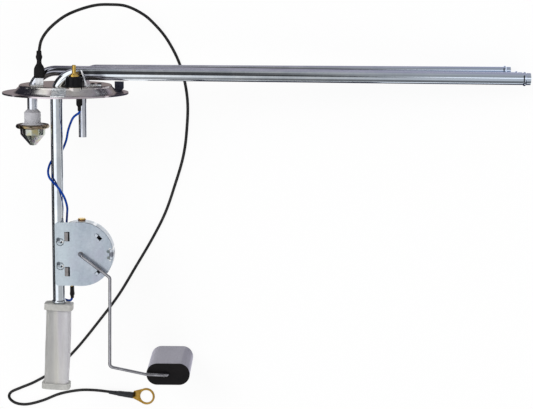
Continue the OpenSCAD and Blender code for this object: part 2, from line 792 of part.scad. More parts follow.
// Route of the signal lead, upper boot to lower boot, as installed
signal_points = [
  [14.5, -29.2, -9.5], [14.2, -29, -12.4], [9, -25.2, -16.8], [4.3, -17.5, -26.5], [1.5, -12, -36.5],
  [-2.5, -9, -45], [-7.5, -8.8, -50], [-11, -11.5, -54], [-12.5, -16, -60], [-11, -21, -64.5],
  [-8, -24, -67.5], [-5, -24.8, -70.5], [-2, -24.3, -74.5], [1, -21.5, -81], [2.3, -16.5, -89],
  [1.5, -11.5, -95.5], [0.4, -7.2, -104], [-0.5, -6.4, -114], [-1.5, -6.2, -127], [-2.5, -6.2, -143],
  [-3.7, -6.6, -155], [-3.8, -8.4, -161.5], [-2.6, -11, -164.6], [0.6, -13.2, -165.6],
  [3.6, -14, -165.6], [5, -13.9, -163.6], [5.1, -13.9, -161.5]
];
module signal_lead() color("mediumblue") laid() cord(signal_points, 3, signal_d / 2, [0, 1, 0]);

// Lower rivet's place round the housing, and the boot that hangs on it
post_hole_r = 2;
rivet_y = plate_front + plate_t + housing_h * 0.62;
low_rivet_at = -108;
low_rivet_x = pivot_x + (housing_r + 1) * cos(low_rivet_at);
low_rivet_z = -pivot_low + (housing_r + 1) * sin(low_rivet_at);
module lower_boot()
  color("black") laid() translate([low_rivet_x, rivet_y, low_rivet_z - lower_boot_h - 2.2])
    blade_boot(lower_boot_h, low_blade_h - 2.2, 3.2);

// Level sender
module plate_outline(r, left, round) {
  flat = r - 0.02;
  intersection() {
    circle(r = r, $fn = 96);
    translate([-3, -2 * r]) square([2 * r, 4 * r]);
  }
  translate([-left, -flat + round]) square([left, 2 * (flat - round)]);
  translate([-left + round, -flat]) square([left - round, 2 * flat]);
  for (s = [-1, 1]) translate([-left + round, s * (flat - round)]) circle(r = round);
}

slot_left = -10.8;
slot_rise = 14.2;
slot_right = 14;
slot_w = 4.2;
slot_h = 7.6;
slit_w = 2.8;
slit_h = 6.6;
tab_t = 0.9;
tab_edge = 0.3;
lance_x = feed_x - pivot_x + 2.2;
lance_rise = 9.8;
crimp_x = 22.8;
crimp_w = 9;

module sender_plate() {
  color("lightblue") laid() on_pivot() difference() {
    union() {
      translate([0, 0, -plate_t]) linear_extrude(height = plate_t)
        plate_outline(plate_r, plate_left, plate_round);
      for (s = [-1, 1]) translate([lance_x, s * lance_rise, -0.3]) {
        cylinder(h = 0.4, r = 3.2);
        translate([0, 0, 0.4 - eps]) cylinder(h = 0.6, r1 = 3.2, r2 = 2.3);
      }
    }
    translate([0, 0, -plate_t - 1]) cylinder(h = plate_t + 2, r = bush_d / 2 + 0.05);
    translate([crimp_x, -crimp_w / 2, -plate_t - 1]) cube([plate_r, crimp_w, plate_t + 2]);
    for (s = [-1, 1]) {
      translate([slot_left - slot_w / 2, s * slot_rise - slot_h / 2, -plate_t - 1])
        cube([slot_w, slot_h, plate_t + 2]);
      translate([slot_right, s * slot_rise, -plate_t - 1]) rotate([0, 0, s * 45])
        translate([-slit_w / 2, -slit_h / 2, 0]) cube([slit_w, slit_h, plate_t + 2]);
      translate([lance_x, s * lance_rise, -plate_t - 1]) {
        for (x = [-1, 1]) translate([x, 0, 0]) cylinder(h = plate_t + 3, r = 0.9);
        translate([-1, -0.88, 0]) cube([2, 1.76, plate_t + 3]);
      }
    }
  }
}

module pan(r, left, low, high, round) {
  intersection() {
    rotate_extrude($fn = 96) polygon(concat(
      [[0, low]],
      bow([r - round, low + round], round, -90, 0, 4),
      [[r, high], [0, high]]
    ));
    translate([-left, -2 * r, low]) cube([4 * r, 4 * r, high - low]);
  }
}

module sender_housing() {
  low = -plate_t - housing_h;
  high = -plate_t;
  inner = housing_r - housing_wall;
  color("lightsteelblue") laid() on_pivot() {
    difference() {
      pan(housing_r, housing_left, low, high, housing_round);
      pan(inner, housing_left - housing_wall, low + housing_wall, high + 1, housing_round - housing_wall);
      for (a = [90, low_rivet_at]) rotate([0, 0, a]) translate([inner - 4, 0, -(rivet_y - plate_front)])
        rotate([0, 90, 0]) cylinder(h = housing_wall + 8, r = post_hole_r);
    }
    translate([crimp_x + tab_edge, -crimp_w / 2 + tab_edge, high - housing_wall])
      cube([housing_r - crimp_x - 1.2, crimp_w - 2 * tab_edge, housing_wall + plate_t]);
    for (s = [-1, 1]) {
      stem = slot_left - slot_w / 2 + tab_edge;
      deep = slot_h - 2 * tab_edge;
      translate([stem, s * slot_rise, 0]) lock_tab(deep, slot_w - 1.2);
      translate([-housing_left + eps, s * slot_rise - deep / 2, high - housing_wall])
        cube([housing_left + stem + tab_t - 2 * eps, deep, housing_wall]);
      translate([slot_right, s * slot_rise, 0]) rotate([0, 0, s * 45])
      translate([0, s * (slit_h / 2 - tab_edge), 0]) {
        rotate([0, 0, -s * 90]) lock_tab(slit_w - 2 * tab_edge, slit_h * 0.4);
        translate([-slit_w / 2 + tab_edge + eps, -1 - s * (tab_t / 2), high - housing_wall])
          cube([housing_r - norm([slot_right, slot_rise]), 2, housing_wall]);
      }
    }
  }
}

// A tab of the housing, through its slot in the plate and bent over towards +X
module lock_tab(wide, reach)
  rotate([90, 0, 0]) linear_extrude(height = wide, center = true) polygon([
    [0, -plate_t - housing_wall],
    [tab_t, -plate_t - housing_wall],
    [tab_t, -0.2],
    [reach, 0.6],
    [reach - 0.3, 1.4],
    [0, 0.7]
  ]);

post_in_r = 2.2;
post_in_t = 0.75;
post_head_at = housing_r + 0.15 + washer_t + 0.05;
card_out = housing_r - housing_wall - 0.3;
card_mid = -(rivet_y - plate_front);
module strip(r_in, r_out, h) {
  translate([0, 0, card_mid]) rotate([0, 0, low_rivet_at - 6])
    rotate_extrude(angle = 90 - low_rivet_at + 12) translate([r_in, -h / 2]) square([r_out - r_in, h]);
}
module resistor_card() color("saddlebrown") laid() on_pivot() difference() {
  strip(card_out - card_t, card_out, card_h);
  for (a = [90, low_rivet_at]) rotate([0, 0, a]) translate([card_out - card_t - 1, 0, card_mid])
    rotate([0, 90, 0]) cylinder(h = card_t + 2, r = post_d / 2 + 0.05);
}
module resistor_winding() color("rosybrown") laid() on_pivot() difference() {
  strip(card_out - card_t - winding_t - 0.02, card_out - card_t - 0.02, card_h - 2);
  for (a = [90, low_rivet_at]) rotate([0, 0, a]) translate([card_out - card_t - winding_t - 1, 0, card_mid])
    rotate([0, 90, 0]) cylinder(h = winding_t + 2, r = 2.4);
}

module terminal_rivets() {
  color("goldenrod") laid() on_pivot() for (a = [90, low_rivet_at]) rotate([0, 0, a])
    translate([0, 0, card_mid]) rotate([0, 90, 0]) {
      translate([0, 0, card_out - card_t - post_in_t - 0.15]) cylinder(h = post_in_t, r = post_in_r);
      translate([0, 0, card_out - card_t - 0.2])
        cylinder(h = post_head_at + 0.3 - card_out + card_t, r = post_d / 2);
      translate([0, 0, post_head_at]) cylinder(h = post_head_t, r = post_head_d / 2);
    }
  color("goldenrod") laid()
    translate([low_rivet_x - blade_t / 2, rivet_y - small_blade_w / 2, low_rivet_z - low_blade_h])
    cube([blade_t, small_blade_w, low_blade_h]);
}

module rivet_insulators() {
  color("sienna") laid() on_pivot() for (a = [90, low_rivet_at]) rotate([0, 0, a])
    translate([0, 0, card_mid]) rotate([0, 90, 0]) difference() {
      union() {
        translate([0, 0, housing_r + 0.15]) cylinder(h = washer_t, r = washer_d / 2);
        translate([0, 0, card_out + 0.1]) cylinder(h = housing_r - card_out + 0.3, r = post_hole_r - 0.05);
      }
      translate([0, 0, card_out - 1]) cylinder(h = housing_r, r = post_d / 2 + 0.05);
    }
}

module pivot_bush() {
  color("tan") laid() on_pivot() difference() {
    union() {
      translate([0, 0, -plate_t - 3]) cylinder(h = plate_t + 3, r = bush_d / 2);
      translate([0, 0, -plate_t - 0.85]) cylinder(h = 0.8, r = bush_d / 2 + 1.5);
    }
    translate([0, 0, -plate_t - 4]) cylinder(h = plate_t + 6, r = wire_d / 2 + pin_fit);
  }
}

// Moving group: wiper, arm and clip turn about the pivot
wiper_at = -38;
module wiper() {
  reach = card_out - card_t - winding_t - 0.35;
  color("peru") laid() on_pivot() difference() {
    union() {
      translate([0, 0, card_mid - 2.2]) cylinder(h = 4.4, r = 3);
      rotate([0, 0, wiper_at]) translate([0, -1.6, card_mid - 0.4]) cube([reach - 0.8, 3.2, 0.8]);
      rotate([0, 0, wiper_at]) translate([reach - 1.2, 0, card_mid]) rotate([0, 90, 0])
        cylinder(h = 1.2, r = 1.1);
    }
    translate([0, 0, card_mid - 4]) cylinder(h = 8, r = wire_d / 2);
  }
}

module float_arm() color("darkgray") laid() on_pivot() bent(arm_points, arm_bend, wire_d / 2);

module float_outline(r, w, h) {
  square([w, h - 2 * r], center = true);
  square([w - 2 * r, h], center = true);
  for (sx = [-1, 1], sy = [-1, 1]) translate([sx * (w / 2 - r), sy * (h / 2 - r)]) circle(r = r);
}

module float() {
  color("darkslategray") laid() on_pivot() translate([toe[0], toe[1], 0]) difference() {
    translate([0, 0, float_back]) linear_extrude(height = float_l)
      float_outline(float_round, float_w, float_h);
    translate([0, 0, float_back - 1]) cylinder(h = float_l + 2, r = wire_d / 2 + pin_fit);
    translate([0, 0, float_back - 1]) cylinder(h = clip_in + 1, r = clip_d / 2 + 0.6);
  }
}

module float_clip() {
  color("silver") laid() on_pivot()
    translate([toe[0], toe[1], float_back + clip_in - clip_t - clip_play]) difference() {
    cylinder(h = clip_t, r = clip_d / 2);
    translate([0, 0, -1]) cylinder(h = clip_t + 2, r = wire_d / 2);
  }
}

// Intake strainer, leaning a little on the tube's end
module at_strainer()
  laid() translate([feed_x, feed_y, strainer_z]) rotate([0, strainer_lean, 0]) children();

// Section of the strainer, drawn in from the edge of its cap
module oval(inset)
  float_outline(strainer_round - inset, cap_w - 2 * inset, cap_deep - 2 * inset);

module strainer_cap() {
  color("whitesmoke") at_strainer() difference() {
    union() {
      translate([0, 0, -cap_h]) linear_extrude(height = cap_h - 0.7) oval(0);
      translate([0, 0, -0.7 - eps]) linear_extrude(height = 0.7) oval(0.5);
      translate([0, 0, -cap_h - 2]) linear_extrude(height = 2 + eps) oval(sock_inset + sock_t + 0.05);
    }
    translate([0, 0, -cap_h - 3]) cylinder(h = cap_h + 6, r = feed_d / 2 + 0.4);
  }
}

module strainer_ribs() {
  low = -cap_h - sock_l + 2;
  frame = sock_inset + sock_t + 0.1;
  side_x = cap_w / 2 - frame - strainer_round * 0.35;
  side_y = cap_deep / 2 - frame - bar_t / 2;
  rise = sock_l - 4 - bar_t;
  color("white") at_strainer() {
    for (i = [0:hoop_n - 1]) translate([0, 0, low + rise * i / (hoop_n - 1)]) linear_extrude(height = bar_t)
      difference() {
        oval(frame);
        float_outline(
          strainer_round - frame - bar_t + 1,
          cap_w - 2 * (frame + bar_t),
          cap_deep - 2 * (frame + bar_t)
        );
      }
    for (sx = [-1, 0, 1], sy = [-1, 1])
      translate([sx * (side_x - bar_t) - bar_t / 2, sy * side_y - bar_t / 2, low])
        cube([bar_t, bar_t, rise + bar_t]);
  }
}

module strainer_sock() {
  color("gainsboro") at_strainer()
    translate([0, 0, -cap_h - sock_l]) linear_extrude(height = sock_l) difference() {
    oval(sock_inset);
    oval(sock_inset + sock_t);
  }
}

module strainer_base() {
  color("whitesmoke") at_strainer() translate([0, 0, -cap_h - sock_l - base_h]) {
    linear_extrude(height = 0.7 + eps) oval(0.5);
    translate([0, 0, 0.7]) linear_extrude(height = base_h - 0.7) oval(0);
    translate([0, 0, base_h - eps]) linear_extrude(height = 2) oval(sock_inset + sock_t + 0.05);
  }
}

// Rollover valve on the vent tube
module at_valve() laid() translate([vent_x, vent_y, -bell_low]) children();

module valve_bell() {
  r = bell_d / 2;
  shoulder = 2.4;
  color("whitesmoke") at_valve() difference() {
    rotate_extrude() polygon([
      [0, 0],
      [r - shoulder, 0],
      [r, -shoulder],
      [r, -bell_h + 2],
      [r + 3.4, -bell_h],
      [rim_d / 2 - 1.6, -bell_h],
      [rim_d / 2 - 1.6, -bell_h - 1.2],
      [r - 1, -bell_h - 1.2],
      [r - 1, -shoulder - 4.2],
      [0, -shoulder - 4.2]
    ]);
    translate([0, 0, -bell_h]) cylinder(h = 2 * bell_h, r = vent_d / 2 + tube_fit);
  }
}

module valve_cup() {
  r = rim_d / 2;
  c = cup_d / 2;
  wall = 0.8;
  low = -bell_h - rim_t;
  color("darkkhaki") at_valve() rotate_extrude() polygon(concat(
    [[c - wall, -bell_h - 1.25]],
    [[r - 1.5, -bell_h - 1.25]],
    [[r - 1.5, -bell_h + 0.05]],
    [[r - 2.6, -bell_h + 0.05]],
    [[r - 2.6, -bell_h + 0.8]],
    bow([r - rim_t / 2, -bell_h - rim_t / 2 + 0.8], rim_t / 2, 90, -90, 6),
    [[c, low + 0.8]],
    [[c - 0.3, low + 0.8 - cup_h]],
    [[tip_d / 2, low + 0.8 - cup_h - cone_h]],
    [[tip_d / 2, low + 1.8 - cup_h - cone_h]],
    [[c - wall - 0.3, low + 1.3 - cup_h]]
  ));
}

// The plunger hangs in the cup and rises to shut the vent
module valve_plunger() {
  c = cup_d / 2 - 1.6;
  seat = -bell_h - rim_t + 1.4 - cup_h;
  top = seat + cup_h + 0.3 - plunger_travel;
  color("white") at_valve() rotate_extrude() polygon([
    [0, top],
    [c - 2, top],
    [c, top - 1.2],
    [c, seat + 0.8],
    [tip_d / 2 - 0.9, seat - cone_h + 0.7],
    [tip_d / 2 - 0.9, seat - cone_h - 0.4],
    [0, seat - cone_h - 1.2]
  ]);
}

flange();
locating_key();
stop_tab();
tube_bracket();
bracket_rivets();
feed_tube();
vent_tube();
return_tube();
braze_rings();
ground_tab();
ground_boot();
ground_lead();
lead_sleeve();
ring_terminal();
terminal_insulator();
signal_stud();
stud_seal();
upper_boot();
signal_lead();
lower_boot();
sender_plate();
sender_housing();
resistor_card();
resistor_winding();
terminal_rivets();
rivet_insulators();
pivot_bush();
wiper();
float_arm();
float();
float_clip();
strainer_cap();
strainer_ribs();
strainer_sock();
strainer_base();
valve_bell();
valve_cup();
valve_plunger();
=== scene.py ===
import math
import bpy
from mathutils import Matrix, Vector, noise


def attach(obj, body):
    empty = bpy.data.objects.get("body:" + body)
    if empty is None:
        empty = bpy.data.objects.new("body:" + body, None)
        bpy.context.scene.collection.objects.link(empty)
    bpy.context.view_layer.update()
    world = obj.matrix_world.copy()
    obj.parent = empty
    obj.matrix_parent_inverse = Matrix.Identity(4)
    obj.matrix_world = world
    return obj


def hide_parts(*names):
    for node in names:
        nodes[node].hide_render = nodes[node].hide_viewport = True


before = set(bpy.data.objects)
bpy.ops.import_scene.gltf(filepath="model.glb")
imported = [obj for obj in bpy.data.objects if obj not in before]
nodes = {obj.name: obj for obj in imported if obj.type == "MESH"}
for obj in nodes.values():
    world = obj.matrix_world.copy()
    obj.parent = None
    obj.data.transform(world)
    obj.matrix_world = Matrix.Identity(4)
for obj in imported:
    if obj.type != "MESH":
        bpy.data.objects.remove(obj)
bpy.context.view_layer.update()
print("frame loaded,", len(nodes), "nodes")

mm = 0.001
rest = {"tilt": 1.3018967, "roll": 7.6181278, "home": (0, 45.25, 0), "bench": -5.15}   # how the unit lies

laid = (Matrix.Rotation(math.radians(rest["roll"]), 4, "Y")
        @ Matrix.Rotation(math.radians(rest["tilt"] - 90), 4, "X")
        @ Matrix.Translation(-Vector(rest["home"]) * mm))


def place(x, y, z):   # a point of the installed unit, in the bench's frame
    return laid @ (Vector((x, y, z)) * mm)


def standing(x, y, z, turn=None):   # the same as a matrix, for a piece modelled upright at the origin
    spot = laid @ Matrix.Translation(Vector((x, y, z)) * mm)
    return spot if turn is None else spot @ turn


def clearSelection():
    if bpy.context.object and bpy.context.object.mode != "OBJECT":
        bpy.ops.object.mode_set(mode="OBJECT")
    bpy.ops.object.select_all(action="DESELECT")


def pick(piece):
    clearSelection()
    piece.select_set(True)
    bpy.context.view_layer.objects.active = piece


# camera, from the photograph's framing
camera = {"eye": (161, -1195, 105), "aim": (161, 0, -88.3), "focalPixels": 1500, "frameWidth": 533,
          "sensor": 36, "lean": 0.5, "near": 0.05, "far": 20}


def addCamera():
    eye, aim = place(*camera["eye"]), place(*camera["aim"])
    forward = (aim - eye).normalized()
    right = laid.to_3x3() @ Vector((1, 0, 0))
    up = right.cross(forward)
    turn = Matrix((right, up, -forward)).transposed() @ Matrix.Rotation(math.radians(camera["lean"]), 3, "Z")
    bpy.ops.object.camera_add(location=eye, rotation=turn.to_euler())
    view = bpy.context.object
    view.data.sensor_fit = "HORIZONTAL"
    view.data.sensor_width = camera["sensor"]
    view.data.lens = camera["sensor"] * camera["focalPixels"] / camera["frameWidth"]
    view.data.clip_start, view.data.clip_end = camera["near"], camera["far"]
    bpy.context.scene.camera = view


addCamera()
print("camera set")

# leads: the routes are the ones their solids follow, the black one in the bench's frame
groundLead = {
    "radius": 1.2, "steps": 6, "roundness": 5,
    "points": [
        (-9.5, 32, 65.3), (-8, 41, 64.3), (-3.5, 49, 61.8), (3, 56, 57.3), (10, 61.5, 51.8),
        (19, 66, 42.8), (28.5, 69, 32.8), (38, 69.5, 23.8), (48, 68.5, 14.8), (58, 63.5, 6.8),
        (67, 56, 1.3), (79, 41, -3.2), (90, 19, -3.9), (95.5, -7, -3.9), (95, -33, -3.9),
        (92, -55, -3.9), (85, -79, -3.9), (77, -102, -3.9), (66, -124, -3.9), (52, -148, -3.9),
        (37, -173, -3.9), (20, -196, -3.9), (0, -221, -3.9), (-19, -240, -3.9), (-36, -251, -3.9),
        (-49, -257, -3.9), (-58, -261.5, -3.9), (-59.5, -266.5, -3.9), (-54, -270.8, -3.9),
        (-44, -271.5, -3.9), (-30, -267.5, -3.9), (-15, -261, -3.9), (2, -257, -3.5),
        (16, -256.2, -2.8), (30, -257, -2.3)]}
signalLead = {
    "radius": 0.9, "steps": 6, "roundness": 5,
    "points": [
        (14.5, -29.2, -9.5), (14.2, -29, -12.4), (9, -25.2, -16.8), (4.3, -17.5, -26.5), (1.5, -12, -36.5),
        (-2.5, -9, -45), (-7.5, -8.8, -50), (-11, -11.5, -54), (-12.5, -16, -60), (-11, -21, -64.5),
        (-8, -24, -67.5), (-5, -24.8, -70.5), (-2, -24.3, -74.5), (1, -21.5, -81), (2.3, -16.5, -89),
        (1.5, -11.5, -95.5), (0.4, -7.2, -104), (-0.5, -6.4, -114), (-1.5, -6.2, -127), (-2.5, -6.2, -143),
        (-3.7, -6.6, -155), (-3.8, -8.4, -161.5), (-2.6, -11, -164.6), (0.6, -13.2, -165.6),
        (3.6, -14, -165.6), (5, -13.9, -163.6), (5.1, -13.9, -161.5)]}


def throughPoints(points, steps):   # a smooth curve through the points
    line = []
    for i in range(len(points) - 1):
        four = [points[max(0, min(len(points) - 1, i + k))] for k in (-1, 0, 1, 2)]
        for j in range(steps):
            t = j / steps
            line.append([0.5 * (2 * b + (c - a) * t + (2 * a - 5 * b + 4 * c - d) * t ** 2
                                + (3 * b - a - 3 * c + d) * t ** 3) for a, b, c, d in zip(*four)])
    return line + [list(points[-1])]


def addLead(name, lead, matrix):
    line = [matrix @ (Vector(p) * mm) for p in throughPoints(lead["points"], lead["steps"])]
    data = bpy.data.curves.new(name, "CURVE")
    data.dimensions = "3D"
    data.bevel_depth = lead["radius"] * mm
    data.bevel_resolution = lead["roundness"]
    data.use_fill_caps = True
    spline = data.splines.new("POLY")
    spline.points.add(len(line) - 1)
    for point, spot in zip(spline.points, line):
        point.co = (*spot, 1)
    spline.use_smooth = True
    piece = bpy.data.objects.new(name, data)
    bpy.context.scene.collection.objects.link(piece)
    length = sum((b - a).length for a, b in zip(line, line[1:]))
    return piece, line[0], length


groundPiece, groundExit, groundLength = addLead("earthLead", groundLead, Matrix.Identity(4))
signalPiece, signalExit, signalLength = addLead("blueLead", signalLead, laid)
print("leads laid: %.3f m and %.3f m" % (groundLength, signalLength))

# shared shapes, modelled upright and then put in place
tolerance = {"merge": 1e-6, "level": 1e-7}


def settle(piece, matrix):   # puts the place into the mesh
    piece.data.transform(matrix)
    piece.data.update()
    return piece


def smooth(piece, angle):
    pick(piece)
    bpy.ops.object.shade_smooth_by_angle(angle=math.radians(angle))


def editAll(piece):
    pick(piece)
    bpy.ops.object.mode_set(mode="EDIT")
    bpy.ops.mesh.select_all(action="SELECT")


def closeNormals(piece):
    editAll(piece)
    bpy.ops.mesh.remove_doubles(threshold=tolerance["merge"])
    bpy.ops.mesh.normals_make_consistent(inside=False)
    bpy.ops.object.mode_set(mode="OBJECT")


def squareOff(vertices, power):   # draws a round ring towards a rounded rectangle
    wide = max(abs(v.co.x) for v in vertices)
    deep = max(abs(v.co.y) for v in vertices)
    for v in vertices:
        turn = math.atan2(v.co.y / deep, v.co.x / wide)
        c, s = math.cos(turn), math.sin(turn)
        v.co.x = wide * math.copysign(abs(c) ** (2 / power), c)
        v.co.y = deep * math.copysign(abs(s) ** (2 / power), s)


def ringStack(name, rings, sides):   # rings of (height, half width, half depth, squareness), where 2 is round
    clearSelection()
    bpy.ops.mesh.primitive_circle_add(vertices=sides, radius=mm, fill_type="NGON")
    piece = bpy.context.object
    piece.name = piece.data.name = name
    first = rings[0]
    bpy.ops.object.mode_set(mode="EDIT")
    bpy.ops.mesh.select_all(action="SELECT")
    bpy.ops.transform.translate(value=(0, 0, first[0] * mm))
    bpy.ops.transform.resize(value=(first[1], first[2], 1), center_override=(0, 0, first[0] * mm))
    for last, ring in zip(rings, rings[1:]):
        bpy.ops.mesh.extrude_region_move(TRANSFORM_OT_translate={"value": (0, 0, (ring[0] - last[0]) * mm)})
        bpy.ops.transform.resize(value=(ring[1] / last[1], ring[2] / last[2], 1),
                                 center_override=(0, 0, ring[0] * mm))
    bpy.ops.object.mode_set(mode="OBJECT")
    for height, _, _, squareness in rings:
        level = [v for v in piece.data.vertices if abs(v.co.z - height * mm) < tolerance["level"]]
        if squareness > 2:
            squareOff(level, squareness)
    closeNormals(piece)
    return piece


def eased(rings, steps):   # more rings, on a smooth profile through the given ones
    return [tuple(r) for r in throughPoints(rings, steps)]


def applyAll(piece):
    pick(piece)
    for modifier in list(piece.modifiers):
        bpy.ops.object.modifier_apply(modifier=modifier.name)


def combine(piece, tool, operation):   # joins a tool's shape to a piece, or cuts it out
    boolean = piece.modifiers.new("combine", "BOOLEAN")
    boolean.operation, boolean.solver, boolean.object = operation, "EXACT", tool
    applyAll(piece)
    bpy.data.objects.remove(tool, do_unlink=True)


def roundEdges(piece, width, segments, angle):
    edges = piece.modifiers.new("edges", "BEVEL")
    edges.width, edges.segments = width * mm, segments
    edges.limit_method, edges.angle_limit = "ANGLE", math.radians(angle)
    applyAll(piece)


def rod(radius, low, high, sides):
    clearSelection()
    bpy.ops.mesh.primitive_cylinder_add(vertices=sides, radius=radius * mm, depth=(high - low) * mm,
                                        location=(0, 0, (low + high) / 2 * mm))
    bpy.ops.object.transform_apply(location=True)
    return bpy.context.object


# rubber boot on the earth blade
earthBoot = {
    "foot": (-18.1, -17.4, 13.5), "steps": 4, "sides": 48, "smooth": 40,
    "rings": [
        (0, 3.5, 2.1, 3.2), (1.2, 4.15, 2.75, 3.4), (4.5, 4.2, 2.85, 3.2), (7.5, 4.0, 2.7, 3),
        (9.6, 3.1, 2.45, 2.5), (11.2, 2.1, 2.05, 2.1), (13.2, 1.85, 1.85, 2), (14.6, 2.05, 2.05, 2),
        (15.8, 2.5, 2.5, 2), (17.3, 2.5, 2.5, 2), (18.5, 2.05, 2.05, 2), (20.9, 1.95, 1.95, 2),
        (21.4, 1.7, 1.7, 2)]}


def addEarthBoot():
    piece = ringStack("earthBoot", eased(earthBoot["rings"], earthBoot["steps"]), earthBoot["sides"])
    smooth(piece, earthBoot["smooth"])
    return settle(piece, standing(*earthBoot["foot"]))


# small boots at the two ends of the blue lead
bladeBoots = {
    "steps": 4, "sides": 40, "smooth": 40,
    "upperSpot": (14.5, -29.2, 2.0),
    "upper": [(-13, 1.1, 1.1, 2), (-12.7, 1.35, 1.35, 2), (-10, 1.4, 1.4, 2), (-9.2, 1.7, 1.9, 2.1),
              (-8.2, 2.3, 2.9, 2.5), (-6, 2.35, 3.0, 2.8), (-1.5, 2.2, 3.0, 2.8), (-1, 1.9, 2.7, 2.8)],
    "lowerSpot": (5.16, -13.85, -163.6),
    "lower": [(0, 1.1, 1.1, 2), (0.3, 1.35, 1.35, 2), (1.6, 1.4, 1.4, 2), (2.6, 1.8, 2.2, 2.2),
              (3.6, 1.9, 2.8, 2.5), (5.4, 1.65, 3.0, 2.8), (9.2, 1.55, 3.0, 2.8), (9.7, 1.35, 2.7, 2.8)]}


def addBladeBoot(name, end):
    piece = ringStack(name, eased(bladeBoots[end], bladeBoots["steps"]), bladeBoots["sides"])
    smooth(piece, bladeBoots["smooth"])
    return settle(piece, standing(*bladeBoots[end + "Spot"]))


# ring terminal, in the bench's frame, with its tongue back along -X
earthEnd = {"at": (60.5, -260, -4.6), "turn": -5}
earthRing = {"outer": 7.1, "hole": 5.4, "thick": 1, "sides": 96, "reach": 11.3, "wide": 6.4,
             "flareStart": 0.4, "flareWide": 0.9,   # in shares of the outer radius
             "edge": 0.22, "segments": 3, "angle": 50, "smooth": 20}


def endPlace(along, rise):
    spot = Matrix.Translation(Vector(earthEnd["at"]) * mm)
    turn = Matrix.Rotation(math.radians(earthEnd["turn"]), 4, "Z")
    return spot @ turn @ Matrix.Translation((along * mm, 0, rise * mm))


def addRing():
    outer, thick, reach = (earthRing[k] * mm for k in ("outer", "thick", "reach"))
    ring = rod(earthRing["outer"], -earthRing["thick"] / 2, earthRing["thick"] / 2, earthRing["sides"])
    ring.name = ring.data.name = "earthRing"
    clearSelection()
    bpy.ops.mesh.primitive_cube_add(size=1)
    tongue = bpy.context.object
    tongue.scale = (reach, earthRing["wide"] * mm, thick)
    tongue.location = (-reach / 2, 0, 0)
    bpy.ops.object.transform_apply(location=True, scale=True)
    for v in tongue.data.vertices:   # the tongue flares into the ring
        if v.co.x > -reach / 2:
            v.co.x = -outer * earthRing["flareStart"]
            v.co.y = math.copysign(outer * earthRing["flareWide"], v.co.y)
    combine(ring, tongue, "UNION")
    combine(ring, rod(earthRing["hole"], -2 * earthRing["thick"], 2 * earthRing["thick"], earthRing["sides"]),
            "DIFFERENCE")
    roundEdges(ring, earthRing["edge"], earthRing["segments"], earthRing["angle"])
    smooth(ring, earthRing["smooth"])
    return settle(ring, endPlace(0, 0))


# shrunk sleeve over the lead's end and the ring's tongue
shrinkSleeve = {
    "start": -11.1, "rise": 2.3, "steps": 4, "sides": 40, "smooth": 40,
    "lumpScale": 420, "lumpStretch": 0.5, "lumpShare": 0.05,
    "rings": [(0, 2.8, 2.6, 2.2), (2.5, 2.78, 2.62, 2.2), (6, 2.6, 2.5, 2), (9.5, 2.4, 2.35, 2),
              (12.5, 2.25, 2.2, 2), (14, 1.85, 1.85, 2), (15.3, 1.95, 1.9, 2), (17, 1.72, 1.72, 2),
              (19.5, 1.6, 1.6, 2), (20.7, 1.55, 1.55, 2), (21, 1.3, 1.3, 2)]}


def addSleeve():
    rings = eased(shrinkSleeve["rings"], shrinkSleeve["steps"])
    piece = ringStack("shrinkSleeve", rings, shrinkSleeve["sides"])
    for v in piece.data.vertices:   # shrunk film is never quite round
        spot = Vector((v.co.x, v.co.y, v.co.z * shrinkSleeve["lumpStretch"]))
        lump = noise.noise(spot * shrinkSleeve["lumpScale"])
        v.co += Vector((v.co.x, v.co.y, 0)) * shrinkSleeve["lumpShare"] * lump
    smooth(piece, shrinkSleeve["smooth"])
    back = Matrix.Rotation(math.radians(-90), 4, "Y")
    return settle(piece, endPlace(shrinkSleeve["start"], shrinkSleeve["rise"]) @ back)


# foam float: long edges well rounded, end faces with a small radius, bored for the wire
foamBlock = {"pivot": (13.5, -23.315, -126), "toe": (69.3, -97.8), "back": -55.85,
             "wide": 35, "high": 17.8, "deep": 56, "round": 8.75, "roundSegments": 14,
             "edge": 0.14, "edgeSegments": 4, "angle": 60, "smooth": 10,
             "bore": 1.31, "boreSides": 32,
             "recess": (4.6, 3.2), "recessSides": 48}   # radius and depth


def addFloat():
    clearSelection()
    bpy.ops.mesh.primitive_cube_add(size=1)
    piece = bpy.context.object
    piece.name = piece.data.name = "foamFloat"
    piece.scale = (foamBlock["wide"] * mm, foamBlock["high"] * mm, foamBlock["deep"] * mm)
    bpy.ops.object.transform_apply(scale=True)
    bpy.ops.object.mode_set(mode="EDIT")
    bpy.ops.mesh.select_mode(type="EDGE")
    bpy.ops.mesh.select_all(action="DESELECT")
    bpy.ops.object.mode_set(mode="OBJECT")
    for edge in piece.data.edges:   # only the four long edges
        a, b = (piece.data.vertices[i].co for i in edge.vertices)
        edge.select = abs(a.z - b.z) > foamBlock["deep"] / 2 * mm
    bpy.ops.object.mode_set(mode="EDIT")
    bpy.ops.mesh.bevel(offset=foamBlock["round"] * mm, segments=foamBlock["roundSegments"], affect="EDGES")
    bpy.ops.object.mode_set(mode="OBJECT")
    roundEdges(piece, foamBlock["edge"], foamBlock["edgeSegments"], foamBlock["angle"])
    low, high = -foamBlock["deep"] / 2, foamBlock["deep"] / 2
    past = 1   # how far a cutter stands out of the face it cuts
    combine(piece, rod(foamBlock["bore"], low - past, high + past, foamBlock["boreSides"]), "DIFFERENCE")
    radius, depth = foamBlock["recess"]
    combine(piece, rod(radius, low - past, low + depth, foamBlock["recessSides"]), "DIFFERENCE")
    smooth(piece, foamBlock["smooth"])
    upright = Matrix.Rotation(math.radians(90), 4, "X")
    offset = Vector((*foamBlock["toe"], foamBlock["back"] + foamBlock["deep"] / 2)) * mm
    return settle(piece, standing(*foamBlock["pivot"]) @ upright @ Matrix.Translation(offset))


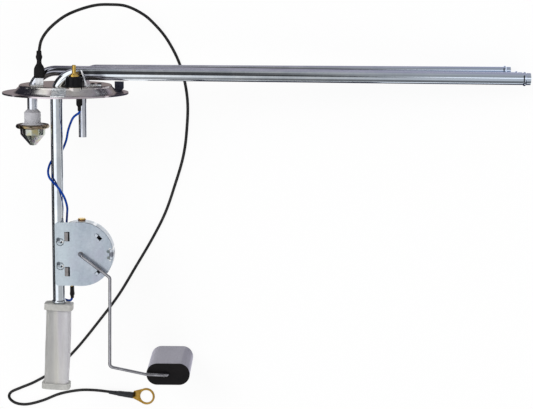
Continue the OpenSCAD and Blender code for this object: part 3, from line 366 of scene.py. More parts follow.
# strainer: moulded cap and base, and the mesh tube that hangs between them in soft folds
strainer = {
    "at": (-5, -17.6, -167.0), "lean": 2.6, "wide": 22.8, "deep": 15, "capHigh": 5, "baseHigh": 4.7,
    "bore": (5.1, -9, 2, 48), "sides": 96, "smooth": 30,   # bore: radius, from, to, sides
    "cap": [   # height, how far in from the widest, squareness
        (-7, 2.7, 3.2), (-5.02, 2.7, 3.2), (-5, 0.25, 4.6), (-4.75, 0, 4.8), (-2.8, 0.1, 4.8),
        (-0.5, 0, 4.8), (-0.15, 0.12, 4.7), (0, 0.45, 4.6)],
    "base": [
        (0, 0.45, 4.4), (0.15, 0.12, 4.6), (0.5, 0, 4.7), (2.6, 0.1, 4.7), (4.45, 0, 4.7),
        (4.7, 0.25, 4.6), (4.72, 2.7, 3.2), (6.6, 2.7, 3.2)]}
sock = {
    "long": 60.6, "inset": 1.7, "round": 5.5, "sides": 96, "cornerSteps": 12, "levels": 60, "wall": 0.5,
    "smooth": 60, "slack": 0.6, "belly": 0.55, "bellyFrom": 0.35,
    "fold": 0.75, "foldScale": (2.1, 1.1), "ripple": 0.18, "rippleScale": (5, 4), "rippleShift": 7}


def roundedPath(wide, deep, radius, sides, steps):   # points round a rounded rectangle, evenly spaced
    a, b = wide / 2 - radius, deep / 2 - radius
    path = []
    for cx, cy, start in [(a, b, 0), (-a, b, 90), (-a, -b, 180), (a, -b, 270)]:
        turns = [math.radians(start + 90 * k / steps) for k in range(steps + 1)]
        path += [(cx + radius * math.cos(turn), cy + radius * math.sin(turn)) for turn in turns]
    path.append(path[0])
    lengths = [math.dist(p, q) for p, q in zip(path, path[1:])]
    total, points, walked, i = sum(lengths), [], 0, 0
    for k in range(sides):
        goal = total * k / sides
        while walked + lengths[i] < goal:
            walked += lengths[i]
            i += 1
        t = (goal - walked) / lengths[i] if lengths[i] else 0
        points.append(tuple(p + (q - p) * t for p, q in zip(path[i], path[i + 1])))
    return points


def inStrainer():
    return standing(*strainer["at"], Matrix.Rotation(math.radians(strainer["lean"]), 4, "Y"))


def tube(name, path, levels, height):   # an open tube with the given outline, from a cylinder's bisected wall
    clearSelection()
    bpy.ops.mesh.primitive_cylinder_add(vertices=len(path), radius=1, depth=height * mm,
                                        end_fill_type="NOTHING", location=(0, 0, height / 2 * mm))
    bpy.ops.object.transform_apply(location=True)
    piece = bpy.context.object
    piece.name = piece.data.name = name
    for k in range(1, levels):
        editAll(piece)
        bpy.ops.mesh.bisect(plane_co=(0, 0, height * k / levels * mm), plane_no=(0, 0, 1))
    bpy.ops.object.mode_set(mode="OBJECT")
    for v in piece.data.vertices:   # the round wall takes the outline
        turn = math.atan2(v.co.y, v.co.x) / (2 * math.pi) * len(path)
        v.co.x, v.co.y = (value * mm for value in path[round(turn) % len(path)])
    return piece


def wrinkle(around, along, scale, shift=0):   # noise that closes round the sock
    across, down = scale
    return noise.noise(Vector((math.cos(around) * across, math.sin(around) * across, along * down + shift)))


def addSock():
    path = roundedPath(strainer["wide"] - 2 * sock["inset"], strainer["deep"] - 2 * sock["inset"],
                       sock["round"] - sock["inset"], sock["sides"], sock["cornerSteps"])
    piece = tube("meshSock", path, sock["levels"], sock["long"])
    for v in piece.data.vertices:   # long folds, deepest half way down, with a slack belly
        along = v.co.z / (sock["long"] * mm)
        slack = max(0.0, math.sin(math.pi * along)) ** sock["slack"]
        around = math.atan2(v.co.y, v.co.x)
        out = Vector((v.co.x, v.co.y, 0)).normalized()
        fold = sock["fold"] * wrinkle(around, along, sock["foldScale"])
        ripple = sock["ripple"] * wrinkle(around, along, sock["rippleScale"], sock["rippleShift"])
        v.co += out * (slack * (sock["belly"] * (along - sock["bellyFrom"]) + fold + ripple) * mm)
    wall = piece.modifiers.new("wall", "SOLIDIFY")
    wall.thickness, wall.offset = sock["wall"] * mm, -1
    applyAll(piece)
    smooth(piece, sock["smooth"])
    foot = -(strainer["capHigh"] + sock["long"])
    return settle(piece, inStrainer() @ Matrix.Translation((0, 0, foot * mm)))


def addStrainerEnds():
    wide, deep = strainer["wide"] / 2, strainer["deep"] / 2
    low = -(strainer["capHigh"] + sock["long"] + strainer["baseHigh"])
    cap, base = (ringStack(name, [(z + foot, wide - inset, deep - inset, square)
                                  for z, inset, square in strainer[end]], strainer["sides"])
                 for name, end, foot in (("strainerTop", "cap", 0), ("strainerFoot", "base", low)))
    combine(cap, rod(*strainer["bore"]), "DIFFERENCE")
    for piece in (cap, base):
        smooth(piece, strainer["smooth"])
        settle(piece, inStrainer())
    return cap, base


# node helpers
def add(tree, kind, **values):
    node = tree.nodes.new(kind)
    for key, value in values.items():
        if key.startswith("in_"):
            node.inputs[key[3:].replace("_", " ")].default_value = value
        else:
            setattr(node, key, value)
    return node


def give(tree, socket, value):   # a link from another socket, or a plain value
    if isinstance(value, bpy.types.NodeSocket):
        tree.links.new(value, socket)
    elif socket.type == "RGBA" and len(value) == 3:
        socket.default_value = (*value, 1)
    else:
        socket.default_value = value


def newGroup(name, inputs, outputs):
    group = bpy.data.node_groups.new(name, "ShaderNodeTree")
    for label, kind, value in inputs:
        socket = group.interface.new_socket(name=label, in_out="INPUT", socket_type="NodeSocket" + kind)
        if value is not None:
            socket.default_value = value
    for label, kind in outputs:
        group.interface.new_socket(name=label, in_out="OUTPUT", socket_type="NodeSocket" + kind)
    return group, group.nodes.new("NodeGroupInput").outputs, group.nodes.new("NodeGroupOutput").inputs


def mixColor(tree, factor, a, b, blend="MIX"):
    mix = add(tree, "ShaderNodeMix", data_type="RGBA", blend_type=blend)
    for socket, value in zip((mix.inputs[0], mix.inputs[6], mix.inputs[7]), (factor, a, b)):
        give(tree, socket, value)
    return mix.outputs[2]


def maths(tree, kind, a, b=0.0):
    node = add(tree, "ShaderNodeMath", operation=kind)
    give(tree, node.inputs[0], a)
    give(tree, node.inputs[1], b)
    return node.outputs[0]


def vectors(tree, kind, a, b=(0, 0, 0)):
    node = add(tree, "ShaderNodeVectorMath", operation=kind)
    give(tree, node.inputs[0], a)
    give(tree, node.inputs[1], b)
    return node.outputs


def remap(tree, value, low, high, toLow=0.0, toHigh=1.0):
    node = add(tree, "ShaderNodeMapRange")
    for socket, number in zip(node.inputs, (value, low, high, toLow, toHigh)):
        give(tree, socket, number)
    return node.outputs[0]


def noiseAt(tree, vector, scale, detail=4.0, rough=0.55):
    node = add(tree, "ShaderNodeTexNoise", in_Detail=detail, in_Roughness=rough)
    give(tree, node.inputs["Vector"], vector)
    give(tree, node.inputs["Scale"], scale)
    return node.outputs["Fac"]


# shared effects, each a node group
mottle = {"fineTimes": 9.0, "fineDetail": 3.0, "broadShare": 0.7, "cloud": (0.36, 0.64), "rough": (0.3, 0.7)}
drawnLines = {"detail": 2.0, "rough": 0.4, "span": (0.3, 0.7)}
stainAndShade = {"detail": 5.0, "rough": 0.6, "edge": (0.5, 0.68)}
weave = {"edge": (0.45, 0.75)}
paintedLightSpotEdge = {"core": 0.6}   # the part of the radius that has the full tone


def mottleGroup():   # broad and fine clouding between two colours, with roughness and a fine grain
    group, start, end = newGroup("mottle", [
        ("Vector", "Vector", None), ("Scale", "Float", 120.0), ("Dark", "Color", (0.3, 0.3, 0.3, 1)),
        ("Light", "Color", (0.5, 0.5, 0.5, 1)), ("Smooth", "Float", 0.2), ("Rough", "Float", 0.4)],
        [("Color", "Color"), ("Roughness", "Float"), ("Height", "Float")])
    broad = noiseAt(group, start["Vector"], start["Scale"])
    fine = noiseAt(group, start["Vector"], maths(group, "MULTIPLY", start["Scale"], mottle["fineTimes"]),
                   mottle["fineDetail"])
    both = maths(group, "ADD", maths(group, "MULTIPLY", broad, mottle["broadShare"]),
                 maths(group, "MULTIPLY", fine, 1 - mottle["broadShare"]))
    cloud = remap(group, both, *mottle["cloud"])
    give(group, end["Color"], mixColor(group, cloud, start["Dark"], start["Light"]))
    give(group, end["Roughness"], remap(group, broad, *mottle["rough"], start["Smooth"], start["Rough"]))
    give(group, end["Height"], fine)
    return group


def linesGroup():   # fine lines left by drawing, rolling or a mould, along the squeezed axis
    group, start, end = newGroup("drawnLines", [
        ("Vector", "Vector", None), ("Fine", "Float", 900.0), ("Strength", "Float", 0.3)],
        [("Shade", "Float"), ("Height", "Float")])
    lines = noiseAt(group, start["Vector"], start["Fine"], drawnLines["detail"], drawnLines["rough"])
    shade = remap(group, lines, *drawnLines["span"], -1.0, 1.0)
    give(group, end["Shade"], maths(group, "MULTIPLY", shade, start["Strength"]))
    give(group, end["Height"], lines)
    return group


def stainAndShadeGroup():   # patches of a second colour, soft at the edges: real stains, and painted fold shading when squeezed into streaks
    group, start, end = newGroup("stainAndShade", [
        ("Vector", "Vector", None), ("Scale", "Float", 60.0), ("Amount", "Float", 0.3),
        ("Color", "Color", (0.5, 0.5, 0.5, 1)), ("Tone", "Color", (0.4, 0.3, 0.2, 1))], [("Color", "Color")])
    patches = noiseAt(group, start["Vector"], start["Scale"], stainAndShade["detail"], stainAndShade["rough"])
    mask = maths(group, "MULTIPLY", remap(group, patches, *stainAndShade["edge"]), start["Amount"])
    give(group, end["Color"], mixColor(group, mask, start["Color"], start["Tone"]))
    return group


def bandGroup():   # a band of another tone across one axis, soft at both sides
    group, start, end = newGroup("band", [
        ("Vector", "Vector", None), ("Axis", "Vector", (1, 0, 0)), ("Middle", "Float", 0.0),
        ("Half", "Float", 0.01), ("Soft", "Float", 0.01), ("Amount", "Float", 0.5),
        ("Color", "Color", (0.5, 0.5, 0.5, 1)), ("Tone", "Color", (0.4, 0.4, 0.4, 1))], [("Color", "Color")])
    along = vectors(group, "DOT_PRODUCT", start["Vector"], start["Axis"])["Value"]
    away = maths(group, "ABSOLUTE", maths(group, "SUBTRACT", along, start["Middle"]))
    mask = remap(group, away, start["Half"], maths(group, "ADD", start["Half"], start["Soft"]),
                 start["Amount"], 0.0)
    give(group, end["Color"], mixColor(group, mask, start["Color"], start["Tone"]))
    return group


def paintedLightGroup():   # a round spot of another tone, in the plane of the sender's plate, for painted shade and painted highlights
    group, start, end = newGroup("spot", [
        ("Vector", "Vector", None), ("Middle", "Vector", (0, 0, 0)), ("Radius", "Float", 0.01),
        ("Amount", "Float", 0.5), ("Color", "Color", (0.5, 0.5, 0.5, 1)),
        ("Tone", "Color", (0.4, 0.4, 0.4, 1))], [("Color", "Color")])
    offset = vectors(group, "SUBTRACT", start["Vector"], start["Middle"])["Vector"]
    away = vectors(group, "LENGTH", vectors(group, "MULTIPLY", offset, (1, 0, 1))["Vector"])["Value"]
    mask = remap(group, away, maths(group, "MULTIPLY", start["Radius"], paintedLightSpotEdge["core"]), start["Radius"],
                 start["Amount"], 0.0)
    give(group, end["Color"], mixColor(group, mask, start["Color"], start["Tone"]))
    return group


def spangleGroup():   # the flakes of a zinc coat
    group, start, end = newGroup("spangle", [
        ("Vector", "Vector", None), ("Scale", "Float", 500.0), ("Color", "Color", (0.5, 0.5, 0.5, 1)),
        ("Strength", "Float", 0.2)], [("Color", "Color"), ("Height", "Float")])
    cells = add(group, "ShaderNodeTexVoronoi")
    give(group, cells.inputs["Vector"], start["Vector"])
    give(group, cells.inputs["Scale"], start["Scale"])
    tone = add(group, "ShaderNodeSeparateColor")
    give(group, tone.inputs[0], cells.outputs["Color"])
    change = maths(group, "MULTIPLY", maths(group, "SUBTRACT", tone.outputs[0], 0.5), start["Strength"])
    scaled = add(group, "ShaderNodeVectorMath", operation="SCALE")
    give(group, scaled.inputs[0], start["Color"])
    give(group, scaled.inputs["Scale"], maths(group, "ADD", change, 1.0))
    give(group, end["Color"], scaled.outputs[0])
    give(group, end["Height"], tone.outputs[1])
    return group


def weaveGroup():   # two crossing sets of threads
    group, start, end = newGroup("weave", [("Vector", "Vector", None), ("Pitch", "Float", 2500.0)],
                                 [("Thread", "Float"), ("Height", "Float")])
    parts = add(group, "ShaderNodeSeparateXYZ")
    give(group, parts.inputs[0], start["Vector"])
    waves = [maths(group, "SINE", maths(group, "MULTIPLY", parts.outputs[axis], start["Pitch"]))
             for axis in ("X", "Z")]
    thread = maths(group, "MAXIMUM", *(maths(group, "ABSOLUTE", wave) for wave in waves))
    give(group, end["Thread"], remap(group, thread, *weave["edge"]))
    give(group, end["Height"], thread)
    return group


effects = {"mottle": mottleGroup(), "lines": linesGroup(), "stainAndShade": stainAndShadeGroup(), "band": bandGroup(),
           "spot": paintedLightGroup(), "spangle": spangleGroup(), "weave": weaveGroup()}


def useGroup(tree, name, vector, **values):
    node = add(tree, "ShaderNodeGroup", node_tree=effects[name], label=name)
    give(tree, node.inputs["Vector"], vector)
    for key, value in values.items():
        give(tree, node.inputs[key], value)
    return node.outputs


# finishes. colors and scale: the mottle; rough: from and to; bump: strength, and depth in mm
# stains: tone, scale, amount; paintedFoldShading, painted light and shade along folds: stretch, and then the
# same; lines: stretch, fineness, strength
# bands: axis, middle, half width and soft edge in mm, tone, amount
# paintedLightSpots, painted shade and painted highlights at bends, rivets and pressed edges: X, Z and radius
# in mm, tone, amount
# spangle: scale, strength; weave: pitch in radians to a metre, cover; sheen: weight, roughness, tint
finishes = {
    "flangeSteel": {
        "colors": ((0.52, 0.51, 0.50), (0.78, 0.77, 0.76)), "scale": 45, "rough": (0.13, 0.22), "metal": 1,
        "bump": (0.015, 0.01),
        "stains": [((0.52, 0.40, 0.44), 40, 0.5), ((0.50, 0.42, 0.26), 52, 0.35)],
        "bands": [("Z", 8, 0.7, 0.4, (0.50, 0.40, 0.24), 0.45), ("Z", 0, 1.1, 0.4, (0.66, 0.56, 0.66), 0.5)],
        # painted shadow: dark under the bracket's foot on the dome top
        "paintedLightSpots": [(27, 12.5, 6.5, (0.03, 0.03, 0.035), 0.8)]},
    "brightTube": {
        "colors": ((0.64, 0.70, 0.77), (0.84, 0.89, 0.94)), "scale": 50, "rough": (0.06, 0.11), "metal": 1,
        "bump": (0.02, 0.01), "stains": [((0.55, 0.52, 0.46), 30, 0.15)], "lines": ((1, 1, 0.03), 700, 0.015),
        # painted reflection: bluer and brighter towards the far right end of the runs
        "bands": [("X", 390, 60, 160, (0.74, 0.84, 0.98), 0.9)],
        # painted shade: darker at the feed elbow and beside the bracket, dimming the tube's reflections
        "paintedLightSpots": [(17, 13, 9, (0.08, 0.08, 0.10), 0.8), (28, 12.5, 8, (0.10, 0.10, 0.13), 0.75)]},
    "brightRun": {
        "colors": ((0.60, 0.63, 0.71), (0.80, 0.83, 0.90)), "scale": 50, "rough": (0.06, 0.12), "metal": 1,
        "bump": (0.02, 0.01), "stains": [((0.56, 0.50, 0.50), 30, 0.12)], "lines": ((0.03, 1, 1), 700, 0.015),
        # painted reflection: bluer and brighter towards the far right end of the runs
        "bands": [("X", 390, 60, 160, (0.66, 0.77, 0.96), 0.9)],
        # painted shade: a darker reflection over the runs near the flange
        "paintedLightSpots": [(-8, 22, 17, (0.20, 0.20, 0.25), 0.75)]},
    "zincPlate": {
        "colors": ((0.42, 0.49, 0.57), (0.58, 0.64, 0.72)), "scale": 40, "rough": (0.32, 0.42), "metal": 1,
        "bump": (0.1, 0.03), "stains": [((0.50, 0.50, 0.62), 60, 0.5)], "spangle": (700, 0.08),
        "lines": ((1, 1, 0.05), 900, 0.04), "bands": [("X", -8, 8, 14, (0.62, 0.71, 0.77), 0.7)],
        # painted light and shade: a shadow under the bracket's foot, dark crescents and glints at the lances,
        # dark marks and glints at the crimp notch
        "paintedLightSpots": [(27, 8.5, 7, (0.02, 0.02, 0.025), 0.85),
                  (-4.2, -114.2, 2.0, (0.05, 0.06, 0.08), 0.85), (-0.8, -116.0, 1.3, (1, 1, 1), 0.9),
                  (-4.2, -133.8, 2.0, (0.05, 0.06, 0.08), 0.85), (-0.8, -135.6, 1.3, (1, 1, 1), 0.9),
                  (35.4, -123.6, 1.6, (0.12, 0.15, 0.14), 0.8), (35.6, -128.6, 1.5, (0.16, 0.18, 0.16), 0.8),
                  (36.6, -121.6, 1.0, (1, 1, 1), 0.9), (36.9, -130.4, 1.1, (1, 1, 1), 0.9)]},
    "keyZinc": {
        "colors": ((0.66, 0.72, 0.78), (0.95, 0.98, 1.0)), "scale": 160, "rough": (0.3, 0.46), "metal": 1,
        "bump": (0.3, 0.04), "spangle": (900, 0.5)},
    "brightZinc": {
        "colors": ((0.70, 0.74, 0.80), (0.95, 0.96, 0.98)), "scale": 160, "rough": (0.2, 0.36), "metal": 1,
        "bump": (0.2, 0.03), "spangle": (700, 0.2)},
    "zincHousing": {
        "colors": ((0.40, 0.45, 0.52), (0.66, 0.71, 0.78)), "scale": 110, "rough": (0.22, 0.36), "metal": 1,
        "bump": (0.15, 0.03), "spangle": (600, 0.18), "stains": [((0.24, 0.26, 0.30), 120, 0.6)],
        "bands": [("X", 2.6, 2.4, 0.3, (0.17, 0.15, 0.14), 0.85)],
        # painted shade and painted highlights on the housing's rim, at the crimp notch and near its top
        "paintedLightSpots": [(38.2, -126, 2.6, (0.10, 0.10, 0.13), 0.8), (39, -121.5, 1.2, (1, 1, 1), 0.9),
                  (32, -104, 2.4, (0.22, 0.22, 0.27), 0.7), (25, -101.5, 2.2, (0.95, 0.97, 1), 0.8)]},
    "darkSteel": {
        "colors": ((0.03, 0.035, 0.06), (0.06, 0.065, 0.10)), "scale": 90, "rough": (0.35, 0.55),
        "specular": 0.3, "bump": (0.2, 0.03)},
    "brazeMetal": {
        "colors": ((0.36, 0.28, 0.14), (0.62, 0.50, 0.28)), "scale": 260, "rough": (0.35, 0.6), "metal": 1,
        "bump": (0.5, 0.05), "stains": [((0.12, 0.10, 0.09), 220, 0.6)]},
    "brass": {
        "colors": ((0.62, 0.38, 0.06), (0.90, 0.64, 0.20)), "scale": 220, "rough": (0.16, 0.3), "metal": 1,
        "bump": (0.2, 0.03), "lines": ((1, 1, 8), 300, 0.05)},
    "ringBrass": {
        "colors": ((0.27, 0.15, 0.02), (0.46, 0.29, 0.075)), "scale": 260, "rough": (0.22, 0.4), "metal": 1,
        "bump": (0.3, 0.04), "stains": [((0.20, 0.11, 0.016), 300, 0.5)]},
    "copperAlloy": {
        "colors": ((0.55, 0.33, 0.16), (0.75, 0.50, 0.28)), "scale": 200, "rough": (0.25, 0.4), "metal": 1,
        "bump": (0.2, 0.03)},
    "wireSteel": {
        "colors": ((0.30, 0.30, 0.33), (0.50, 0.50, 0.54)), "scale": 120, "rough": (0.16, 0.28), "metal": 1,
        "bump": (0.06, 0.02), "stains": [((0.30, 0.28, 0.27), 90, 0.3)]},
    "rubber": {
        "colors": ((0.004, 0.004, 0.004), (0.012, 0.011, 0.012)), "scale": 160, "rough": (0.4, 0.6),
        "specular": 0.15, "bump": (0.2, 0.04)},
    "moulding": {
        "colors": ((0.002, 0.002, 0.003), (0.007, 0.007, 0.008)), "scale": 140, "rough": (0.28, 0.4),
        "specular": 0.14, "bump": (0.2, 0.03), "lines": ((1, 1, 6), 260, 0.05)},
    "shrunkFilm": {
        "colors": ((0.006, 0.007, 0.009), (0.02, 0.022, 0.026)), "scale": 220, "rough": (0.3, 0.46),
        "specular": 0.35, "bump": (0.4, 0.08)},
    "blackJacket": {
        "colors": ((0.005, 0.005, 0.005), (0.022, 0.021, 0.022)), "scale": 120, "rough": (0.28, 0.4),
        "specular": 0.25, "bump": (0.04, 0.02)},
    "blueJacket": {
        "colors": ((0.0003, 0.024, 0.20), (0.0006, 0.06, 0.37)), "scale": 260, "rough": (0.28, 0.4),
        "specular": 0.1, "bump": (0.2, 0.03)},
    "card": {
        "colors": ((0.20, 0.09, 0.04), (0.34, 0.18, 0.09)), "scale": 180, "rough": (0.5, 0.7),
        "bump": (0.3, 0.04)},
    "windingWire": {
        "colors": ((0.40, 0.30, 0.22), (0.66, 0.54, 0.44)), "scale": 200, "rough": (0.3, 0.45), "metal": 1,
        "bump": (0.6, 0.08), "lines": ((4, 1, 4), 900, 0.3)},
    "bushPlastic": {
        "colors": ((0.10, 0.10, 0.11), (0.20, 0.20, 0.22)), "scale": 180, "rough": (0.4, 0.55),
        "bump": (0.2, 0.03)},
    "foam": {
        "colors": ((0.001, 0.001, 0.001), (0.004, 0.003, 0.003)), "scale": 130, "rough": (0.3, 0.4),
        "specular": 0.1, "sheen": (1.0, 0.39, (0.86, 0.84, 1.0)), "bump": (0.1, 0.03),
        "lines": ((1, 1, 0.08), 700, 0.1)},
    "nylon": {
        "colors": ((0.35, 0.35, 0.335), (0.51, 0.507, 0.487)), "scale": 90, "rough": (0.35, 0.5),
        "bump": (0.2, 0.04), "subsurface": 0.3, "alpha": 0.92},
    "sockMesh": {
        "colors": ((0.37, 0.37, 0.365), (0.50, 0.495, 0.485)), "scale": 24, "rough": (0.45, 0.6),
        "bump": (0.2, 0.03), "subsurface": 0.3, "weave": (5200, 0.82),
        # painted light and shade: dark, ivory and lavender streaks down the sock's folds
        "paintedFoldShading": [((1, 1, 0.05), (0.30, 0.30, 0.31), 95, 0.5), ((1, 1, 0.06), (0.66, 0.63, 0.57), 120, 0.6),
                    ((1, 1, 0.08), (0.50, 0.48, 0.57), 80, 0.5)],
        # the X bands are painted shade down the left side, and painted light down the right side and along a
        # fold near the middle
        "bands": [("Z", -240, 18, 30, (0.62, 0.61, 0.58), 0.5), ("X", -17, 5, 5, (0.28, 0.28, 0.28), 0.45),
                  ("X", 5, 4, 4.5, (0.66, 0.65, 0.70), 0.7), ("X", -7, 0.8, 2, (0.62, 0.61, 0.56), 0.5)]},
    "valvePlastic": {
        "colors": ((0.43, 0.43, 0.465), (0.57, 0.57, 0.60)), "scale": 120, "rough": (0.28, 0.42),
        "bump": (0.15, 0.03), "subsurface": 0.3},
    "yellowZinc": {
        "colors": ((0.34, 0.38, 0.34), (0.66, 0.70, 0.62)), "scale": 130, "rough": (0.12, 0.24), "metal": 1,
        "bump": (0.2, 0.03), "stains": [((0.62, 0.50, 0.16), 150, 0.7), ((0.46, 0.24, 0.50), 190, 0.6)],
        "bands": [("Z", -25.5, 1.7, 0.2, (0.22, 0.14, 0.06), 0.75)]},
}
axes = {"X": (1, 0, 0), "Y": (0, 1, 0), "Z": (0, 0, 1)}
relief = {"spangle": 0.3, "lines": 0.5}   # how much of each goes into the bump's height
threadCover = {"gap": -0.25, "thread": 0.12}   # alpha between and on the threads, from the mean cover
glowDepth = 2   # how far light goes into the white plastics, in mm


def squeezed(tree, vector, stretch):
    squeeze = add(tree, "ShaderNodeMapping", in_Scale=stretch)
    give(tree, squeeze.inputs["Vector"], vector)
    return squeeze.outputs[0]


def colorOver(tree, vector, color, spec):   # stains, painted fold shading, bands and painted light spots over the mottle's colour
    for tone, scale, amount in spec.get("stains", []):
        color = useGroup(tree, "stainAndShade", vector, Scale=scale, Amount=amount, Color=color, Tone=tone)["Color"]
    # painted fold shading, drawn as squeezed stains
    for stretch, tone, scale, amount in spec.get("paintedFoldShading", []):
        color = useGroup(tree, "stainAndShade", squeezed(tree, vector, stretch), Scale=scale, Amount=amount,
                         Color=color, Tone=tone)["Color"]
    for axis, middle, half, soft, tone, amount in spec.get("bands", []):
        color = useGroup(tree, "band", vector, Axis=axes[axis], Middle=middle * mm, Half=half * mm,
                         Soft=soft * mm, Amount=amount, Color=color, Tone=tone)["Color"]
    # painted shade and painted highlights, as round spots
    for x, z, radius, tone, amount in spec.get("paintedLightSpots", []):
        color = useGroup(tree, "spot", vector, Middle=(x * mm, 0, z * mm), Radius=radius * mm,
                         Amount=amount, Color=color, Tone=tone)["Color"]
    return color


def makeFinish(name, spec):
    material = bpy.data.materials.new(name)
    material.use_nodes = True
    tree = material.node_tree
    shader = tree.nodes["Principled BSDF"]
    coords = add(tree, "ShaderNodeTexCoord")
    turn = add(tree, "ShaderNodeMapping")   # patterns follow the installed unit's own axes
    turn.inputs["Rotation"].default_value = laid.to_3x3().inverted().to_euler()
    give(tree, turn.inputs["Vector"], coords.outputs["Object"])
    vector = turn.outputs[0]
    (dark, light), (smoothest, roughest) = spec["colors"], spec["rough"]
    base = useGroup(tree, "mottle", vector, Scale=spec["scale"], Dark=dark, Light=light,
                    Smooth=smoothest, Rough=roughest)
    rough, height = base["Roughness"], base["Height"]
    color = colorOver(tree, vector, base["Color"], spec)
    if "spangle" in spec:
        scale, strength = spec["spangle"]
        flakes = useGroup(tree, "spangle", vector, Scale=scale, Color=color, Strength=strength)
        color = flakes["Color"]
        height = maths(tree, "ADD", height, maths(tree, "MULTIPLY", flakes["Height"], relief["spangle"]))
    if "lines" in spec:
        stretch, fine, strength = spec["lines"]
        lines = useGroup(tree, "lines", squeezed(tree, vector, stretch), Fine=fine, Strength=strength)
        rough = maths(tree, "ADD", rough, lines["Shade"])
        height = maths(tree, "ADD", height, maths(tree, "MULTIPLY", lines["Height"], relief["lines"]))
    if "weave" in spec:
        pitch, cover = spec["weave"]
        threads = useGroup(tree, "weave", vector, Pitch=pitch)
        height = maths(tree, "ADD", height, threads["Height"])
        give(tree, shader.inputs["Alpha"], remap(tree, threads["Thread"], 0, 1, cover + threadCover["gap"],
                                                 cover + threadCover["thread"]))
    bump = add(tree, "ShaderNodeBump", in_Strength=spec["bump"][0], in_Distance=spec["bump"][1] * mm)
    give(tree, bump.inputs["Height"], height)
    give(tree, shader.inputs["Base Color"], color)
    give(tree, shader.inputs["Roughness"], rough)
    give(tree, shader.inputs["Normal"], bump.outputs[0])
    shader.inputs["Metallic"].default_value = spec.get("metal", 0)
    shader.inputs["Specular IOR Level"].default_value = spec.get("specular", 0.5)
    if "sheen" in spec:
        for key, value in zip(("Sheen Weight", "Sheen Roughness", "Sheen Tint"), spec["sheen"]):
            give(tree, shader.inputs[key], value)
    if "subsurface" in spec:
        shader.inputs["Subsurface Weight"].default_value = spec["subsurface"]
        shader.inputs["Subsurface Radius"].default_value = (1, 1, 1)
        shader.inputs["Subsurface Scale"].default_value = glowDepth * mm
    if "alpha" in spec:
        shader.inputs["Alpha"].default_value = spec["alpha"]
    return material


materials = {name: makeFinish(name, spec) for name, spec in finishes.items()}
print("finishes made:", len(materials))


def wear(piece, finish):
    piece.data.materials.clear()
    piece.data.materials.append(materials[finish])


nodeFinish = {
    "flange": "flangeSteel", "locating_key": "keyZinc", "stop_tab": "darkSteel", "tube_bracket": "brightZinc",
    "bracket_rivets": "zincPlate", "feed_tube": "brightTube", "vent_tube": "brightRun",
    "return_tube": "brightRun", "braze_rings": "brazeMetal", "ground_tab": "brightZinc",
    "terminal_insulator": "moulding", "signal_stud": "brass", "stud_seal": "rubber",
    "sender_plate": "zincPlate", "sender_housing": "zincHousing", "resistor_card": "card",
    "resistor_winding": "windingWire", "terminal_rivets": "brass", "rivet_insulators": "card",
    "pivot_bush": "bushPlastic", "wiper": "copperAlloy", "float_arm": "wireSteel",
    "float_clip": "zincPlate", "strainer_ribs": "nylon", "valve_bell": "valvePlastic",
    "valve_cup": "yellowZinc", "valve_plunger": "nylon"}
for nodeName, finish in nodeFinish.items():
    wear(nodes[nodeName], finish)

upperBoot, lowerBoot = addBladeBoot("upperBootRubber", "upper"), addBladeBoot("lowerBootRubber", "lower")
strainerTop, strainerFoot = addStrainerEnds()
sleevePiece, ringPiece = addSleeve(), addRing()
dressing = [   # piece, finish, body, node it stands for, slot
    (groundPiece, "blackJacket", "unit", "ground_lead", "black_cord"),
    (signalPiece, "blueJacket", "unit", "signal_lead", "blue_cord"),
    (addEarthBoot(), "rubber", "unit", "ground_boot", "black_rubber"),
    (upperBoot, "rubber", "unit", "upper_boot", "black_rubber"),
    (lowerBoot, "rubber", "unit", "lower_boot", "black_rubber"),
    (sleevePiece, "shrunkFilm", "unit", "lead_sleeve", "black_plastic"),
    (ringPiece, "ringBrass", "unit", "ring_terminal", "brass"),
    (addFloat(), "foam", "float_body", "float", "float_foam"),
    (addSock(), "sockMesh", "unit", "strainer_sock", "mesh_cloth"),
    (strainerTop, "nylon", "unit", "strainer_cap", "natural_nylon"),
    (strainerFoot, "nylon", "unit", "strainer_base", "natural_nylon")]
for piece, finish, body, node, slotName in dressing:
    wear(piece, finish)
    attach(piece, body)
    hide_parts(node)
print("pieces dressed:", len(dressing))

# studio: pale floor, soft light from two sides, and dark and grey cards that only the steel mirrors
floorSheet = {"size": 6.0, "middle": (0.15, -0.1), "color": (0.86, 0.86, 0.86), "seenWhite": 0.9}
lamps = {"aim": (0.1, -0.1, 0),
         "key": {"at": (-0.9, 0.7, 1.5), "size": 1.1, "power": 16},
         "fill": {"at": (0.9, -0.9, 1.4), "size": 1.4, "power": 7}}
cards = [   # name, X from and to, Y from and to, height over the floor (mm), tone
    ("darkSide", -900, -12, -900, 800, 0.2, (0.025, 0.025, 0.035)),
    ("underFlange", -75, 62, -12, 55, 0.6, (0.30, 0.26, 0.27)),
    ("underRuns", 60, 480, -80, 10, 0.4, (0.04, 0.04, 0.06)),
    ("darkStrip", 95, 260, -300, -80, 0.4, (0.06, 0.06, 0.08)),
    ("beyondRuns", -75, 480, 28, 190, 0.4, (0.38, 0.36, 0.42)),
    ("farFloor", -12, 1400, 190, 2800, 0.4, (0.40, 0.39, 0.42))]
